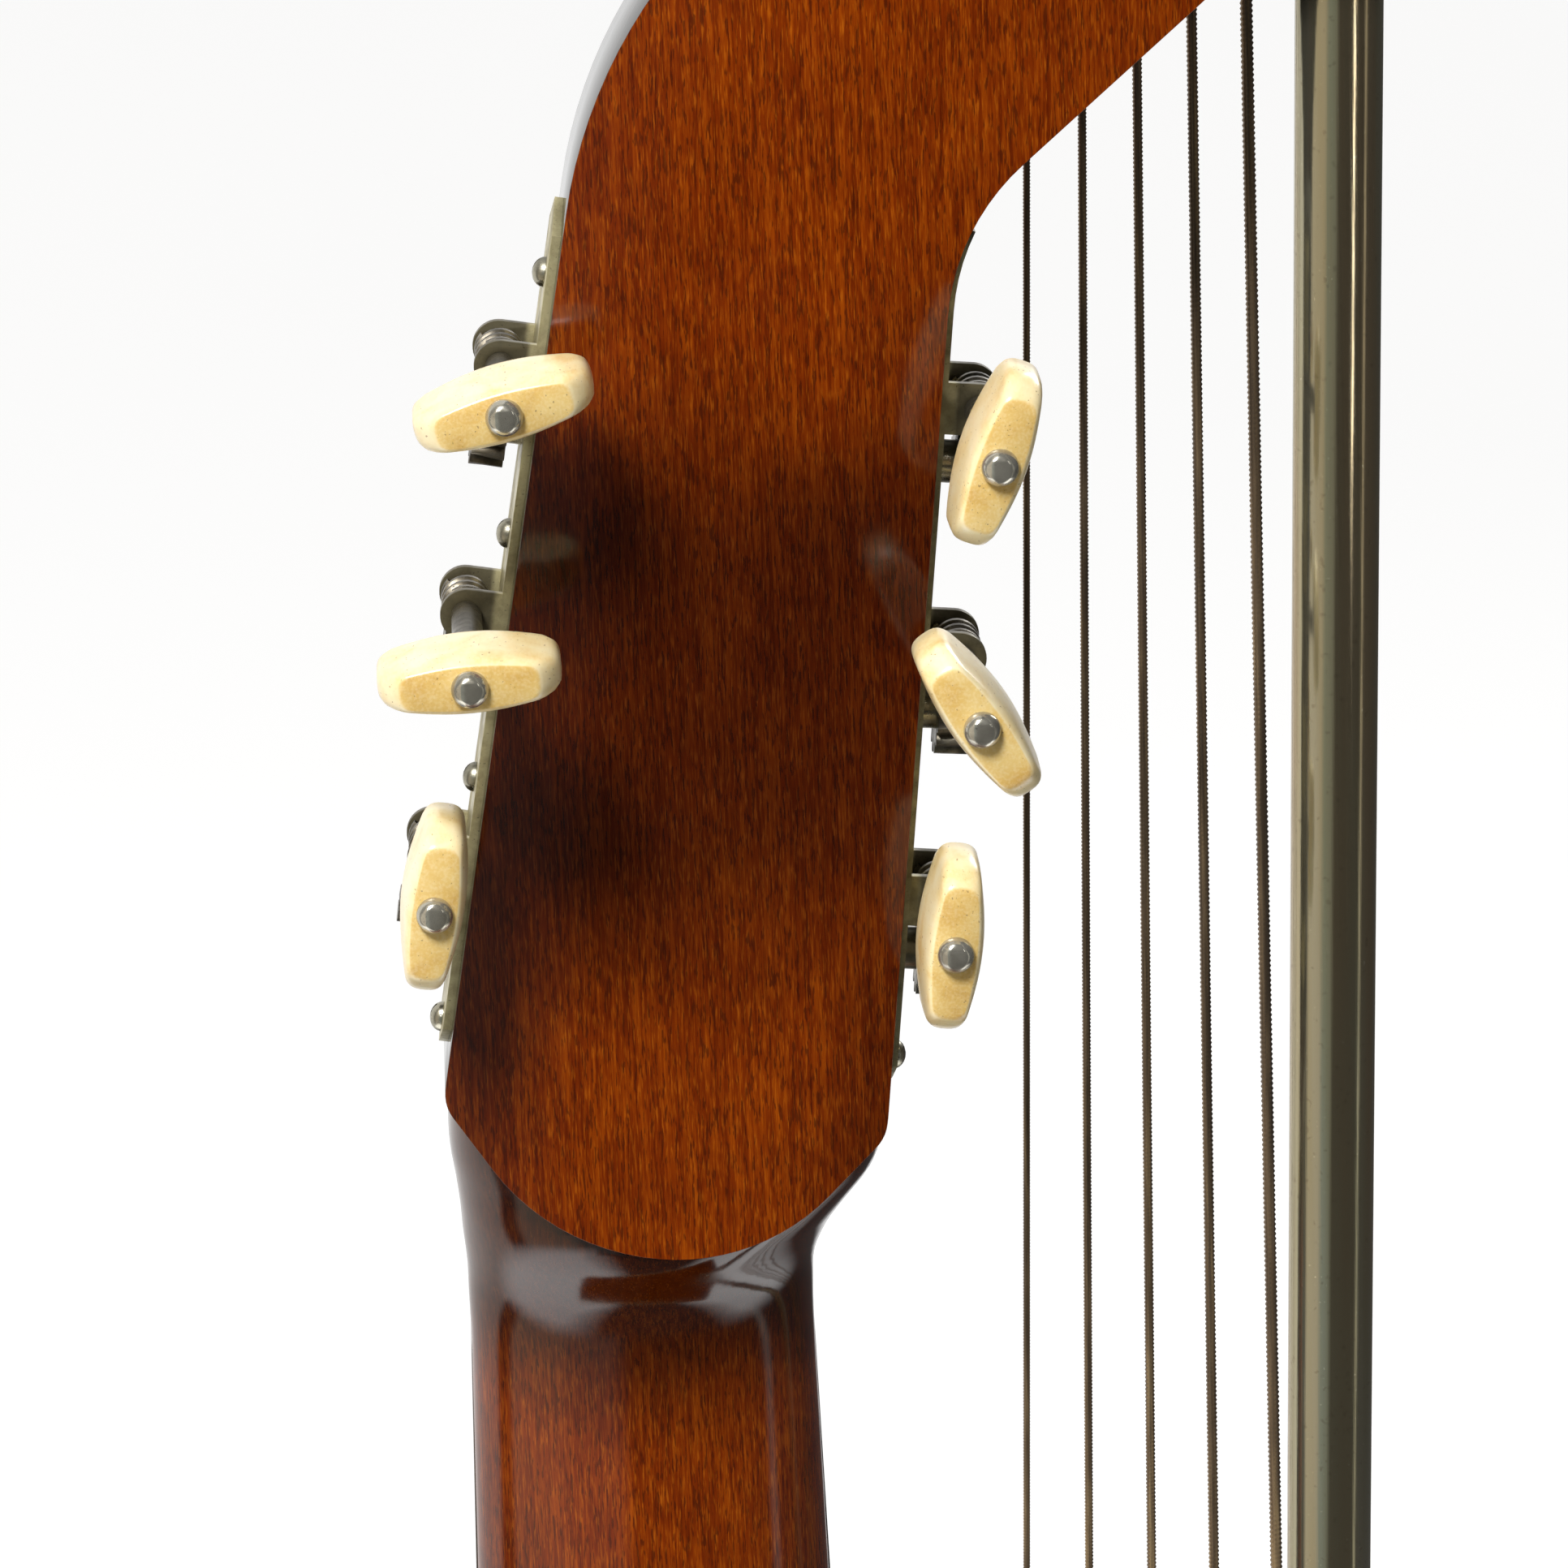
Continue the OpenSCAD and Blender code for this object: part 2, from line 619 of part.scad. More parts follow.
function section_ring(q) = [
    for (k = [0:section_points]) let (a = 180 * k / section_points)
        [q[1] + q[2] * sign(cos(a)) * pow(abs(cos(a)), 2 / q[4]),
         front_y + q[3] * pow(sin(a), 2 / q[4]), nut_z + q[0]]];

module loft(rings) {
    n = len(rings[0]);
    m = len(rings);
    sides = [for (k = [0:m - 2], i = [0:n - 1]) let (j = (i + 1) % n)
        [k * n + i, (k + 1) * n + i, (k + 1) * n + j, k * n + j]];
    foot = [for (i = [0:n - 1]) i];
    top = [for (i = [n - 1:-1:0]) (m - 1) * n + i];
    polyhedron(points = [for (r = rings, q = r) q], faces = concat([foot], sides, [top]));
}

module neck() {
    color([0.4, 0.15, 0.06]) difference() {
        loft([for (q = spline(SECTIONS, 3)) section_ring(q)]);
        slab(front_y - 1, head_back_y + 1) polygon(head_outline);
    }
}

board_end_z = hole_z + hole_r + 4;
board_taper = (joint_half - nut_half) / (scale_len / 2);
function board_half(z) = nut_half + (nut_z - z) * board_taper;
function fret_z(k) = nut_z - scale_len * (1 - pow(2, -k / 12));
fret_slot_w = 0.6;
fret_slot_d = 2;

module fingerboard() {
    color([0.08, 0.06, 0.05]) difference() {
        slab(board_y, front_y) polygon([
            [-board_half(board_end_z), board_end_z], [board_half(board_end_z), board_end_z],
            [nut_half, nut_z], [-nut_half, nut_z]]);
        for (k = [1:fret_count]) translate([-40, board_y - 1, fret_z(k) - fret_slot_w / 2])
            cube([80, fret_slot_d + 1, fret_slot_w]);
        for (q = DOTS) rod_along_y(q[1], dot_z(q), board_y - 1, board_y + dot_t, dot_r);
    }
}

module frets() {
    color([0.72, 0.72, 0.66]) for (k = [1:fret_count]) {
        w = board_half(fret_z(k)) - 0.3;
        translate([-w, board_y, fret_z(k) - fret_slot_w / 2]) cube([2 * w, fret_slot_d, fret_slot_w]);
        difference() {
            translate([-w, board_y, fret_z(k)]) rotate([0, 90, 0]) cylinder(h = 2 * w, r = 1.1, $fn = 32);
            translate([-w - 1, board_y, fret_z(k) - 3]) cube([2 * w + 2, 4, 6]);
        }
    }
}

// Position dots: the fret behind which each lies, and its X
DOTS = [[5, 0], [7, 0], [9, 0], [12, 9], [12, -9], [15, 0], [17, 0]];
dot_r = 3;
dot_t = 1.4;
function dot_z(q) = (fret_z(q[0]) + fret_z(q[0] - 1)) / 2;

module position_dots() {
    color([0.92, 0.9, 0.84]) for (q = DOTS)
        rod_along_y(q[1], dot_z(q), board_y, board_y + dot_t, dot_r);
}

// A bar along X whose cross-section is drawn in Y and Z
module bar_along_x(x0, x1) {
    translate([x0, 0, 0]) rotate([90, 0, 90]) linear_extrude(x1 - x0) children();
}

// Both nuts slope down behind the land that the strings bend over
nut_t = 5;
nut_slope = 1.8;
module nut(x0, x1, z) {
    bar_along_x(x0, x1) polygon([[nut_y, z], [front_y, z], [front_y, z + nut_t],
        [nut_y + nut_slope, z + nut_t], [nut_y, z + nut_land]]);
}

module nuts() {
    color([0.9, 0.82, 0.64]) {
        nut(-nut_half, nut_half, nut_z);
        nut(bass_nut_x0 - 4 * bass_nut_pitch - 5, bass_nut_x0 + 5, bass_nut_z);
    }
}

// ------------------------------------------------------------------- body

module body_ring(outer, inner, y0, y1) {
    slab(y0, y1) difference() {
        polygon(inset(body_outline, outer));
        polygon(inset(body_outline, inner));
    }
}

module soundboard() {
    color([0.78, 0.55, 0.28]) difference() {
        slab(front_y, front_y + plate_t) polygon(inset(body_outline, binding_w));
        rod_along_y(0, hole_z, front_y - 1, front_y + plate_t + 1, hole_r);
        rosette_shape(front_y - 1, front_y + rosette_t);
        for (i = [0:TUNERS - 1])
            rod_along_y(saddle_x(i), pin_z, front_y - 1, front_y + plate_t + 1, pin_r);
    }
}

rosette_t = 0.8;
module rosette_shape(y0, y1) {
    difference() {
        rod_along_y(0, hole_z, y0, y1, hole_r + 14);
        rod_along_y(0, hole_z, y0 - 1, y1 + 1, hole_r + 4);
        translate([-80, y0 - 1, board_end_z - 3]) cube([160, y1 - y0 + 2, 40]);
    }
}

module rosette() {
    color([0.2, 0.12, 0.07]) rosette_shape(front_y, front_y + rosette_t);
}

module back_plate() {
    color([0.42, 0.18, 0.08])
        slab(back_y - plate_t, back_y) polygon(inset(body_outline, binding_w));
}

module ribs() {
    body_ring(0, rib_t, front_y + plate_t, back_y - plate_t);
}

module rib_treble() {
    color([0.42, 0.18, 0.08]) difference() {
        ribs();
        translate([-400, -100, -10]) cube([400, 200, 600]);
        end_pin_hole();
    }
}

module rib_bass() {
    color([0.42, 0.18, 0.08]) difference() {
        ribs();
        translate([0, -100, -10]) cube([400, 200, 600]);
        end_pin_hole();
    }
}

module linings() {
    color([0.72, 0.55, 0.36]) difference() {
        union() {
            body_ring(rib_t, rib_t + lining_w, front_y + plate_t, front_y + plate_t + lining_h);
            body_ring(rib_t, rib_t + lining_w, back_y - plate_t - lining_h, back_y - plate_t);
        }
        block_zones();
    }
}

neck_block_w = 76;
neck_block_h = 46;
tail_block_w = 90;
tail_block_h = 18;
column_block_x0 = -112;
column_block_w = 46;

module block_zones() {
    y = back_y;
    translate([-neck_block_w / 2, -y, joint_z - neck_block_h]) cube([neck_block_w, 2 * y, 100]);
    translate([-tail_block_w / 2, -y, -50]) cube([tail_block_w, 2 * y, 50 + body_z0 + tail_block_h]);
    translate([column_block_x0, -y, column_foot_z - 34]) cube([column_block_w, 2 * y, 100]);
}

module end_blocks() {
    color([0.7, 0.52, 0.33]) difference() {
        intersection() {
            slab(front_y + plate_t, back_y - plate_t) polygon(inset(body_outline, rib_t));
            block_zones();
        }
        translate([0, 0, -50]) cylinder(h = 50 + body_z0 + tail_block_h + 1, r = pin_spigot_r);
        translate([column_block_x0 - 1, mid_y + 14, 300]) cube([column_block_w + 1, 100, 300]);
    }
}

TOP_BARS = [85, 205, 268, 398, 432];
BACK_BARS = [70, 160, 275, 400];
bar_w = 7;
bar_end = 14;

module bars(heights, y0, y1) {
    for (z = heights) {
        w = min(half_width(z - bar_w), half_width(z + bar_w)) - bar_end;
        translate([-w, y0, z - bar_w / 2]) cube([2 * w, y1 - y0, bar_w]);
    }
}

module top_braces() {
    color([0.8, 0.62, 0.38]) bars(TOP_BARS, front_y + plate_t, front_y + plate_t + 9);
}

module back_braces() {
    color([0.8, 0.62, 0.38]) bars(BACK_BARS, back_y - plate_t - 12, back_y - plate_t);
}

module bindings() {
    color([0.85, 0.76, 0.52]) {
        body_ring(0, binding_w, front_y, front_y + plate_t);
        body_ring(0, binding_w, back_y - plate_t, back_y);
    }
}

bridge_x0 = -110;
bridge_x1 = 46;
bridge_h = 30;
bridge_z0 = saddle_z - 21;
pin_z = saddle_z - 13;
pin_r = 2.4;
saddle_t = 3;
saddle_slot_d = 4;
saddle_bevel = 0.8;
SADDLES = [[-36, 36], [-101, -37.6]];

module bridge() {
    r = bridge_h / 2;
    color([0.1, 0.06, 0.05]) difference() {
        slab(bridge_y, front_y) {
            translate([bridge_x0 + r, bridge_z0]) square([bridge_x1 - bridge_x0 - 2 * r, bridge_h]);
            for (x = [bridge_x0 + r, bridge_x1 - r]) translate([x, bridge_z0 + r]) circle(r);
        }
        for (q = SADDLES) translate([q[0], bridge_y - 1, saddle_z - saddle_t / 2])
            cube([q[1] - q[0], saddle_slot_d + 1, saddle_t]);
        for (i = [0:TUNERS - 1]) rod_along_y(saddle_x(i), pin_z, bridge_y - 1, front_y + 1, pin_r);
    }
}

// Both saddles are bevelled on the side where the strings go down to the pins
module saddles() {
    low = saddle_z - saddle_t / 2;
    high = saddle_z + saddle_t / 2;
    foot = bridge_y + saddle_slot_d;
    color([0.92, 0.86, 0.7]) for (q = SADDLES)
        bar_along_x(q[0], q[1]) polygon([[saddle_y, saddle_z - 0.3], [saddle_y + saddle_bevel, low],
            [foot, low], [foot, high], [saddle_y, high]]);
}

module bridge_pins() {
    color([0.9, 0.84, 0.68]) for (i = [0:TUNERS - 1]) {
        rod_along_y(saddle_x(i), pin_z, bridge_y, front_y + plate_t + 4, pin_r);
        translate([saddle_x(i), bridge_y, pin_z]) rotate([90, 0, 0]) rotate_extrude()
            polygon(concat([[0, 0], [3.6, 0], [3.6, 0.5]],
                [for (a = [15:15:90]) [3.6 * cos(a), 0.5 + 2.6 * sin(a)]]));
    }
}

peg_r = 5;
peg_end_z = -11;
pin_spigot_r = 3.6;

module end_pin_hole() {
    translate([0, 0, -20]) cylinder(h = 60, r = pin_spigot_r);
}

module end_pin() {
    color([0.1, 0.06, 0.05]) {
        translate([0, 0, peg_end_z]) cylinder(h = body_z0 - peg_end_z, r = peg_r);
        cylinder(h = body_z0 + tail_block_h, r = pin_spigot_r);
        translate([0, 0, peg_end_z]) rotate([180, 0, 0]) rotate_extrude() polygon(
            concat([[0, 0]], [for (a = [0:15:90]) [peg_r * cos(a), 2.5 * sin(a)]]));
    }
}

soundboard();
back_plate();
rib_treble();
rib_bass();
linings();
end_blocks();
top_braces();
back_braces();
bindings();
rosette();
bridge();
saddles();
bridge_pins();
end_pin();
neck();
fingerboard();
frets();
position_dots();
nuts();
harp_head();
head_tuner_plates();
bass_tuner_plates();
plate_screws();
column();
column_sockets();
strings_main();
strings_bass();
for (i = [1:TUNERS]) {
    button(i - 1);
    worm(i - 1);
    roller(i - 1);
}
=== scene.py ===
import json
import math

import bmesh
import bpy
from mathutils import Matrix, Vector

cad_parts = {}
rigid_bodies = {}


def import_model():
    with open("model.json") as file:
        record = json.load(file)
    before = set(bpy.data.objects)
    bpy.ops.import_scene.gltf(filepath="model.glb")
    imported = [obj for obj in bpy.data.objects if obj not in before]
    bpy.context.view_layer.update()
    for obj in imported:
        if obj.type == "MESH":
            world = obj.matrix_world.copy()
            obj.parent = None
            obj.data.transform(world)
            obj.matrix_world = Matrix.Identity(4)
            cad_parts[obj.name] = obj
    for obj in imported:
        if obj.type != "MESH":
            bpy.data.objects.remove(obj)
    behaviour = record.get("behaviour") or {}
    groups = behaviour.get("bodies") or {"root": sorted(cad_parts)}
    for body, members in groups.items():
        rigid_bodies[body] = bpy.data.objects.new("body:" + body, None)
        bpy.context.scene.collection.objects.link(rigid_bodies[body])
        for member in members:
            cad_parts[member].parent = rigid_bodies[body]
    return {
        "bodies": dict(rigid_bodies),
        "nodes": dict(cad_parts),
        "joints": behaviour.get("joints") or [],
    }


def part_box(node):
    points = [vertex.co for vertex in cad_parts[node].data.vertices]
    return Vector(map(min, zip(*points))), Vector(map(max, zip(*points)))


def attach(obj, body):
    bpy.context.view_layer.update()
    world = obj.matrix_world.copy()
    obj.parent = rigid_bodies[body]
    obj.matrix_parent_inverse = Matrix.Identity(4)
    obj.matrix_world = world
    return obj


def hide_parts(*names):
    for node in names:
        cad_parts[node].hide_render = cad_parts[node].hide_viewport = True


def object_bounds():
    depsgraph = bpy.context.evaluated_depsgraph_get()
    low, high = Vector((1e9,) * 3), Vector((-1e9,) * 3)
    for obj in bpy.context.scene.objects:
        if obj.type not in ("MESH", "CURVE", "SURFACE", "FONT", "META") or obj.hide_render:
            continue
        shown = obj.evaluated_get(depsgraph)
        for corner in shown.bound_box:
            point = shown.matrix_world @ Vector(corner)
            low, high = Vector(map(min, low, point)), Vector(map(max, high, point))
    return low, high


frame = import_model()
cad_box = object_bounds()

MM = 0.001
nodes = frame["nodes"]
joint_of = {j["child"]: j for j in frame["joints"]}
TUNERS = sum(1 for name in frame["bodies"] if name.startswith("key_"))
ROOT = "instrument"
Y_AXIS = Vector((0, 1, 0))


# ------------------------------------------------------------------ camera

NUT_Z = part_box("fingerboard")[1].z      # the upper end of the fingerboard
SENSOR_MM, LENS_MM = 36, 161.4969


def add_camera():
    """A long lens behind the neck head and a little above it."""
    azimuth, elevation, roll = math.radians(177.4), math.radians(16.2), math.radians(-2.06)
    distance = 0.963
    target = Vector((-0.02193, -0.0215, NUT_Z + 0.08455))
    back = Vector((math.sin(azimuth) * math.cos(elevation), -math.cos(azimuth) * math.cos(elevation),
                   math.sin(elevation)))
    right = Vector((0, 0, 1)).cross(back).normalized()
    up = back.cross(right)
    right, up = (math.cos(roll) * right + math.sin(roll) * up,
                 math.cos(roll) * up - math.sin(roll) * right)
    data = bpy.data.cameras.new("camera")
    data.sensor_width = SENSOR_MM
    data.lens = LENS_MM
    data.clip_start, data.clip_end = 0.05, 100
    camera = bpy.data.objects.new("camera", data)
    turn = Matrix((right, up, back)).transposed().to_4x4()
    camera.matrix_world = Matrix.Translation(target + back * distance) @ turn
    bpy.context.scene.collection.objects.link(camera)
    bpy.context.scene.camera = camera


# ---------------------------------------------------------------- shaders

def rgba(colour):
    """A colour with its alpha, from three channels or from one grey."""
    return (*colour, 1) if isinstance(colour, tuple) else (colour,) * 3 + (1,)


class Shader:
    """A material's node tree, with short calls for the nodes that the finishes share."""

    def __init__(self, name, **values):
        self.material = bpy.data.materials.new(name)
        self.material.use_nodes = True
        self.tree = self.material.node_tree
        self.bsdf = self.tree.nodes["Principled BSDF"]
        for key, value in values.items():
            self.bsdf.inputs[key.replace("_", " ")].default_value = value
        self.place = self.add("ShaderNodeTexCoord")

    def add(self, kind, **settings):
        node = self.tree.nodes.new(kind)
        for key, value in settings.items():
            setattr(node, key, value)
        return node

    def link(self, source, target):
        self.tree.links.new(source, target)

    def feed(self, socket, value):
        """Links an output to a socket, or sets the socket's own value."""
        if isinstance(value, bpy.types.NodeSocket):
            self.link(value, socket)
        else:
            socket.default_value = value

    def position(self, scale=(1, 1, 1), turn=(0, 0, 0)):
        """The object's own coordinates, turned first and then stretched."""
        vector = self.place.outputs["Object"]
        for key, value, plain in (("Rotation", turn, (0, 0, 0)), ("Scale", scale, (1, 1, 1))):
            if value != plain:
                mapping = self.add("ShaderNodeMapping")
                mapping.inputs[key].default_value = value
                self.link(vector, mapping.inputs["Vector"])
                vector = mapping.outputs["Vector"]
        return vector

    def noise(self, scale, stretch=(1, 1, 1), detail=3, roughness=0.5, turn=(0, 0, 0), distortion=0.0):
        node = self.add("ShaderNodeTexNoise")
        node.inputs["Scale"].default_value = scale
        node.inputs["Detail"].default_value = detail
        node.inputs["Roughness"].default_value = roughness
        node.inputs["Distortion"].default_value = distortion
        self.link(self.position(stretch, turn), node.inputs["Vector"])
        return node.outputs["Fac"]

    def ramp(self, value, *stops):
        node = self.add("ShaderNodeValToRGB")
        elements = node.color_ramp.elements
        while len(elements) < len(stops):
            elements.new(0.5)
        for element, (place, colour) in zip(elements, stops):
            element.position = place
            element.color = rgba(colour)
        self.link(value, node.inputs["Fac"])
        return node.outputs["Color"]

    def mix(self, factor, a, b, blend="MIX"):
        node = self.add("ShaderNodeMix", data_type="RGBA", blend_type=blend)
        self.feed(node.inputs["Factor"], factor)
        for socket, value in ((node.inputs[6], a), (node.inputs[7], b)):
            self.feed(socket, (*value, 1) if isinstance(value, tuple) else value)
        return node.outputs[2]

    def math(self, operation, a, b=0.0):
        node = self.add("ShaderNodeMath", operation=operation)
        self.feed(node.inputs[0], a)
        self.feed(node.inputs[1], b)
        return node.outputs[0]

    def smooth(self, value, low, high, to_low=0.0, to_high=1.0):
        node = self.add("ShaderNodeMapRange", interpolation_type="SMOOTHSTEP")
        self.link(value, node.inputs["Value"])
        for key, number in (("From Min", low), ("From Max", high), ("To Min", to_low), ("To Max", to_high)):
            node.inputs[key].default_value = number
        return node.outputs["Result"]

    def axis(self, vector, name):
        node = self.add("ShaderNodeSeparateXYZ")
        self.link(vector, node.inputs["Vector"])
        return node.outputs[name]

    def bump(self, height, distance, strength):
        node = self.add("ShaderNodeBump")
        node.inputs["Strength"].default_value = strength
        node.inputs["Distance"].default_value = distance
        self.link(height, node.inputs["Height"])
        return node.outputs["Normal"]

    def finish(self, **sockets):
        """Links outputs to the shader's own sockets and gives the finished material."""
        for key, value in sockets.items():
            self.link(value, self.bsdf.inputs[key.replace("_", " ")])
        return self.material


def band(s, value, centre, half, soft):
    """1 near a value, 0 away from it."""
    away = s.math("ABSOLUTE", s.math("SUBTRACT", value, centre))
    return s.smooth(away, half, half + soft, 1.0, 0.0)


def beech(name, dark_sides, darkening, lacquer_ior=1.5):
    """Stained beech: short dark flecks and fine golden streaks along Z under a glossy lacquer."""
    s = Shader(name, Roughness=0.5, Specular_IOR_Level=0.0, Coat_Weight=0.9, Coat_IOR=lacquer_ior)
    streaks = s.noise(1.0, (1700, 1700, 70), detail=5, roughness=0.66)
    fibres = s.noise(1.0, (4600, 4600, 360), detail=2)
    flecks = s.noise(1.0, (3300, 3300, 420), detail=2, roughness=0.5)
    clouds = s.noise(16.0, detail=4, distortion=0.6)
    figure = s.noise(1.0, (70, 70, 240), detail=2, turn=(0, math.radians(38), 0), distortion=0.8)
    ground = s.ramp(streaks, (0.30, (0.112, 0.012, 0.0003)), (0.5, (0.206, 0.027, 0.0005)),
                    (0.70, (0.350, 0.065, 0.0012)))
    ground = s.mix(s.smooth(fibres, 0.48, 0.8, 0.0, 0.6), ground, (0.55, 0.145, 0.006))
    fleck = s.smooth(flecks, 0.55, 0.64, 0.0, 0.72)
    colour = s.mix(fleck, ground, (0.070, 0.011, 0.0016))
    colour = s.mix(s.smooth(figure, 0.38, 0.7, 0.0, 0.26), colour, (0.45, 0.30, 0.25), "MULTIPLY")
    colour = s.mix(s.smooth(clouds, 0.38, 0.7, 0.0, 0.42), colour, (0.50, 0.36, 0.30), "MULTIPLY")
    # A darkening by place, where given: painted shade in the neck's hollow, and the head darker round its
    # middle and sides.
    if darkening:
        colour = darkening(s, colour)
    rough = s.ramp(s.noise(900.0, detail=4), (0.3, 0.42), (0.7, 0.55))
    film = s.smooth(s.noise(60.0, detail=3), 0.3, 0.7, 0.07, 0.14)
    if dark_sides:
        facing = s.math("ABSOLUTE", s.axis(s.place.outputs["Normal"], "Y"))
        face = s.smooth(facing, 0.84, 0.90)
        worn = s.math("MULTIPLY", s.smooth(facing, 0.87, 0.92), s.smooth(facing, 0.975, 0.995, 1.0, 0.0))
        patchy = s.smooth(s.noise(160.0, detail=5), 0.38, 0.56)
        lacquer = s.mix(s.smooth(s.noise(700.0, detail=2), 0.5, 0.75), (0.0040, 0.0030, 0.0026),
                        (0.012, 0.007, 0.005))
        colour = s.mix(face, lacquer, colour)
        colour = s.mix(s.math("MULTIPLY", worn, patchy), colour, (0.36, 0.17, 0.10))
        film = s.mix(face, (0.035,) * 3, film)
    normal = s.bump(s.math("MULTIPLY", fleck, -1.0), 0.00006, 0.35)
    skin = s.bump(s.noise(1.0, (420, 420, 140), detail=2), 0.00005, 0.22)
    return s.finish(Base_Color=colour, Roughness=rough, Normal=normal, Coat_Normal=skin, Coat_Roughness=film)


# The neck head: how far it leans, where its middle line meets the nut, how its sides close in,
# and from the middle line to the side plates' outer faces at the nut
HEAD_LEAN = math.radians(8)
HEAD_FOOT_X = 0.0013
HEAD_TAPER = math.tan(math.radians(2.2))
PLATE_FACE = 0.0336


def head_place(s):
    """How far a point is sideways from the neck head's middle line, and how far above the nut."""
    place = s.place.outputs["Object"]
    up = s.math("SUBTRACT", s.axis(place, "Z"), NUT_Z)
    across = s.math("ADD", s.math("MULTIPLY", s.math("SUBTRACT", s.axis(place, "X"), HEAD_FOOT_X),
                                  math.cos(HEAD_LEAN)),
                    s.math("MULTIPLY", up, math.sin(HEAD_LEAN)))
    return across, up


def head_darkening(s, colour):
    """Darkens the neck head to nearly black-brown round its middle and towards its sides."""
    across, up = head_place(s)
    wander = s.math("MULTIPLY", s.math("SUBTRACT", s.noise(24.0, detail=3), 0.5), 0.035)
    middle = band(s, s.math("ADD", up, wander), 0.098, 0.016, 0.045)
    side = s.smooth(s.math("ADD", s.math("ABSOLUTE", across), wander), 0.012, 0.031)
    low = s.smooth(up, 0.130, 0.172, 1.0, 0.0)
    # Darker round the head's middle and towards its sides.
    darkened = s.math("MAXIMUM", s.math("MULTIPLY", middle, 0.80), s.math("MULTIPLY", side, 0.62))
    dark = s.math("MULTIPLY", darkened, low)
    return s.mix(dark, colour, (0.13, 0.12, 0.80), "MULTIPLY")


def neck_painted_shade(s, colour):
    """Painted shade: darker in the hollow under the head, and a little darker along the neck's edges."""
    place = s.place.outputs["Object"]
    x, z = s.axis(place, "X"), s.axis(place, "Z")
    up = s.math("SUBTRACT", z, NUT_Z)
    wander = s.math("MULTIPLY", s.math("SUBTRACT", s.noise(30.0, detail=3), 0.5), 0.012)
    # Painted shade in the hollow under the head.
    hollow = s.smooth(s.math("ADD", up, wander), -0.022, 0.006)
    edge = s.smooth(s.math("ABSOLUTE", x), 0.012, 0.024, 0.0, 0.45)
    return s.mix(s.math("MAXIMUM", hollow, edge), colour, (0.20, 0.22, 0.5), "MULTIPLY")


def spruce():
    """A spruce top: growth rings along Z with silk across them, gone golden with age."""
    s = Shader("spruce_top", Roughness=0.38, Coat_Weight=0.5, Coat_Roughness=0.12)
    rings = s.noise(1.0, (420, 40, 2.2), detail=2.5, roughness=0.55)
    fine = s.noise(1.0, (2600, 2600, 40), detail=3)
    silk = s.noise(1.0, (40, 40, 700), detail=2)
    colour = s.ramp(rings, (0.36, (0.62, 0.33, 0.10)), (0.52, (0.78, 0.47, 0.17)),
                    (0.62, (0.50, 0.24, 0.07)))
    colour = s.mix(s.smooth(fine, 0.4, 0.7, 0.0, 0.35), colour, (0.86, 0.56, 0.24))
    colour = s.mix(s.smooth(silk, 0.5, 0.8, 0.0, 0.25), colour, (0.9, 0.64, 0.32))
    age = s.smooth(s.noise(7.0, detail=2), 0.35, 0.7, 0.0, 0.4)
    colour = s.mix(age, colour, (0.75, 0.55, 0.38), "MULTIPLY")
    return s.finish(Base_Color=colour, Normal=s.bump(rings, 0.00005, 0.3))


def inner_wood():
    """Bare pale wood inside the body."""
    s = Shader("inner_wood", Roughness=0.75)
    grain = s.noise(1.0, (900, 900, 30), detail=4)
    colour = s.ramp(grain, (0.3, (0.42, 0.26, 0.12)), (0.7, (0.62, 0.43, 0.23)))
    return s.finish(Base_Color=colour, Normal=s.bump(grain, 0.0001, 0.3))


def blackwood(name, turn=(0, 0, 0)):
    """Nearly black hardwood with fine pores; turn sets the way its grain runs."""
    s = Shader(name, Roughness=0.4, Coat_Weight=0.25, Coat_Roughness=0.25)
    pores = s.noise(1.0, (2200, 2200, 90), detail=4, roughness=0.6, turn=turn)
    bands = s.noise(1.0, (260, 260, 8), detail=2, turn=turn)
    colour = s.ramp(bands, (0.3, (0.012, 0.008, 0.006)), (0.7, (0.040, 0.024, 0.015)))
    colour = s.mix(s.smooth(pores, 0.58, 0.68, 0.0, 0.8), colour, (0.004, 0.003, 0.0025))
    return s.finish(Base_Color=colour, Normal=s.bump(pores, 0.00008, 0.4))


ROSETTE_WIDTH = 0.010
ROSETTE_BLOCKS = 60


def rosette():
    """Inlaid rings of dark and light wood round the soundhole, with a chequered band."""
    s = Shader("rosette_inlay", Roughness=0.35, Coat_Weight=0.5, Coat_Roughness=0.1)
    low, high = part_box("rosette")
    middle = (low.x + high.x) / 2
    height = low.z + (high.x - low.x) / 2
    place = s.place.outputs["Object"]
    x = s.math("SUBTRACT", s.axis(place, "X"), middle)
    z = s.math("SUBTRACT", s.axis(place, "Z"), height)
    radius = s.math("SQRT", s.math("ADD", s.math("MULTIPLY", x, x), s.math("MULTIPLY", z, z)))
    outer = (high.x - low.x) / 2
    inward = s.math("DIVIDE", s.math("SUBTRACT", outer, radius), ROSETTE_WIDTH)
    dark, light, red = (0.015, 0.010, 0.007), (0.70, 0.50, 0.26), (0.20, 0.045, 0.015)
    rings = s.ramp(inward, (0.0, dark), (0.10, light), (0.18, dark), (0.30, red), (0.68, dark),
                   (0.80, light), (0.90, dark))
    rings.node.color_ramp.interpolation = "CONSTANT"
    turn = s.math("ARCTAN2", z, x)
    blocks = s.math("FRACT", s.math("MULTIPLY", turn, ROSETTE_BLOCKS / (2 * math.pi)))
    in_band = s.math("MULTIPLY", s.smooth(inward, 0.295, 0.305), s.smooth(inward, 0.675, 0.685, 1.0, 0.0))
    chequer = s.math("MULTIPLY", s.math("GREATER_THAN", blocks, 0.5), in_band)
    return s.finish(Base_Color=s.mix(chequer, rings, (0.52, 0.30, 0.12)))


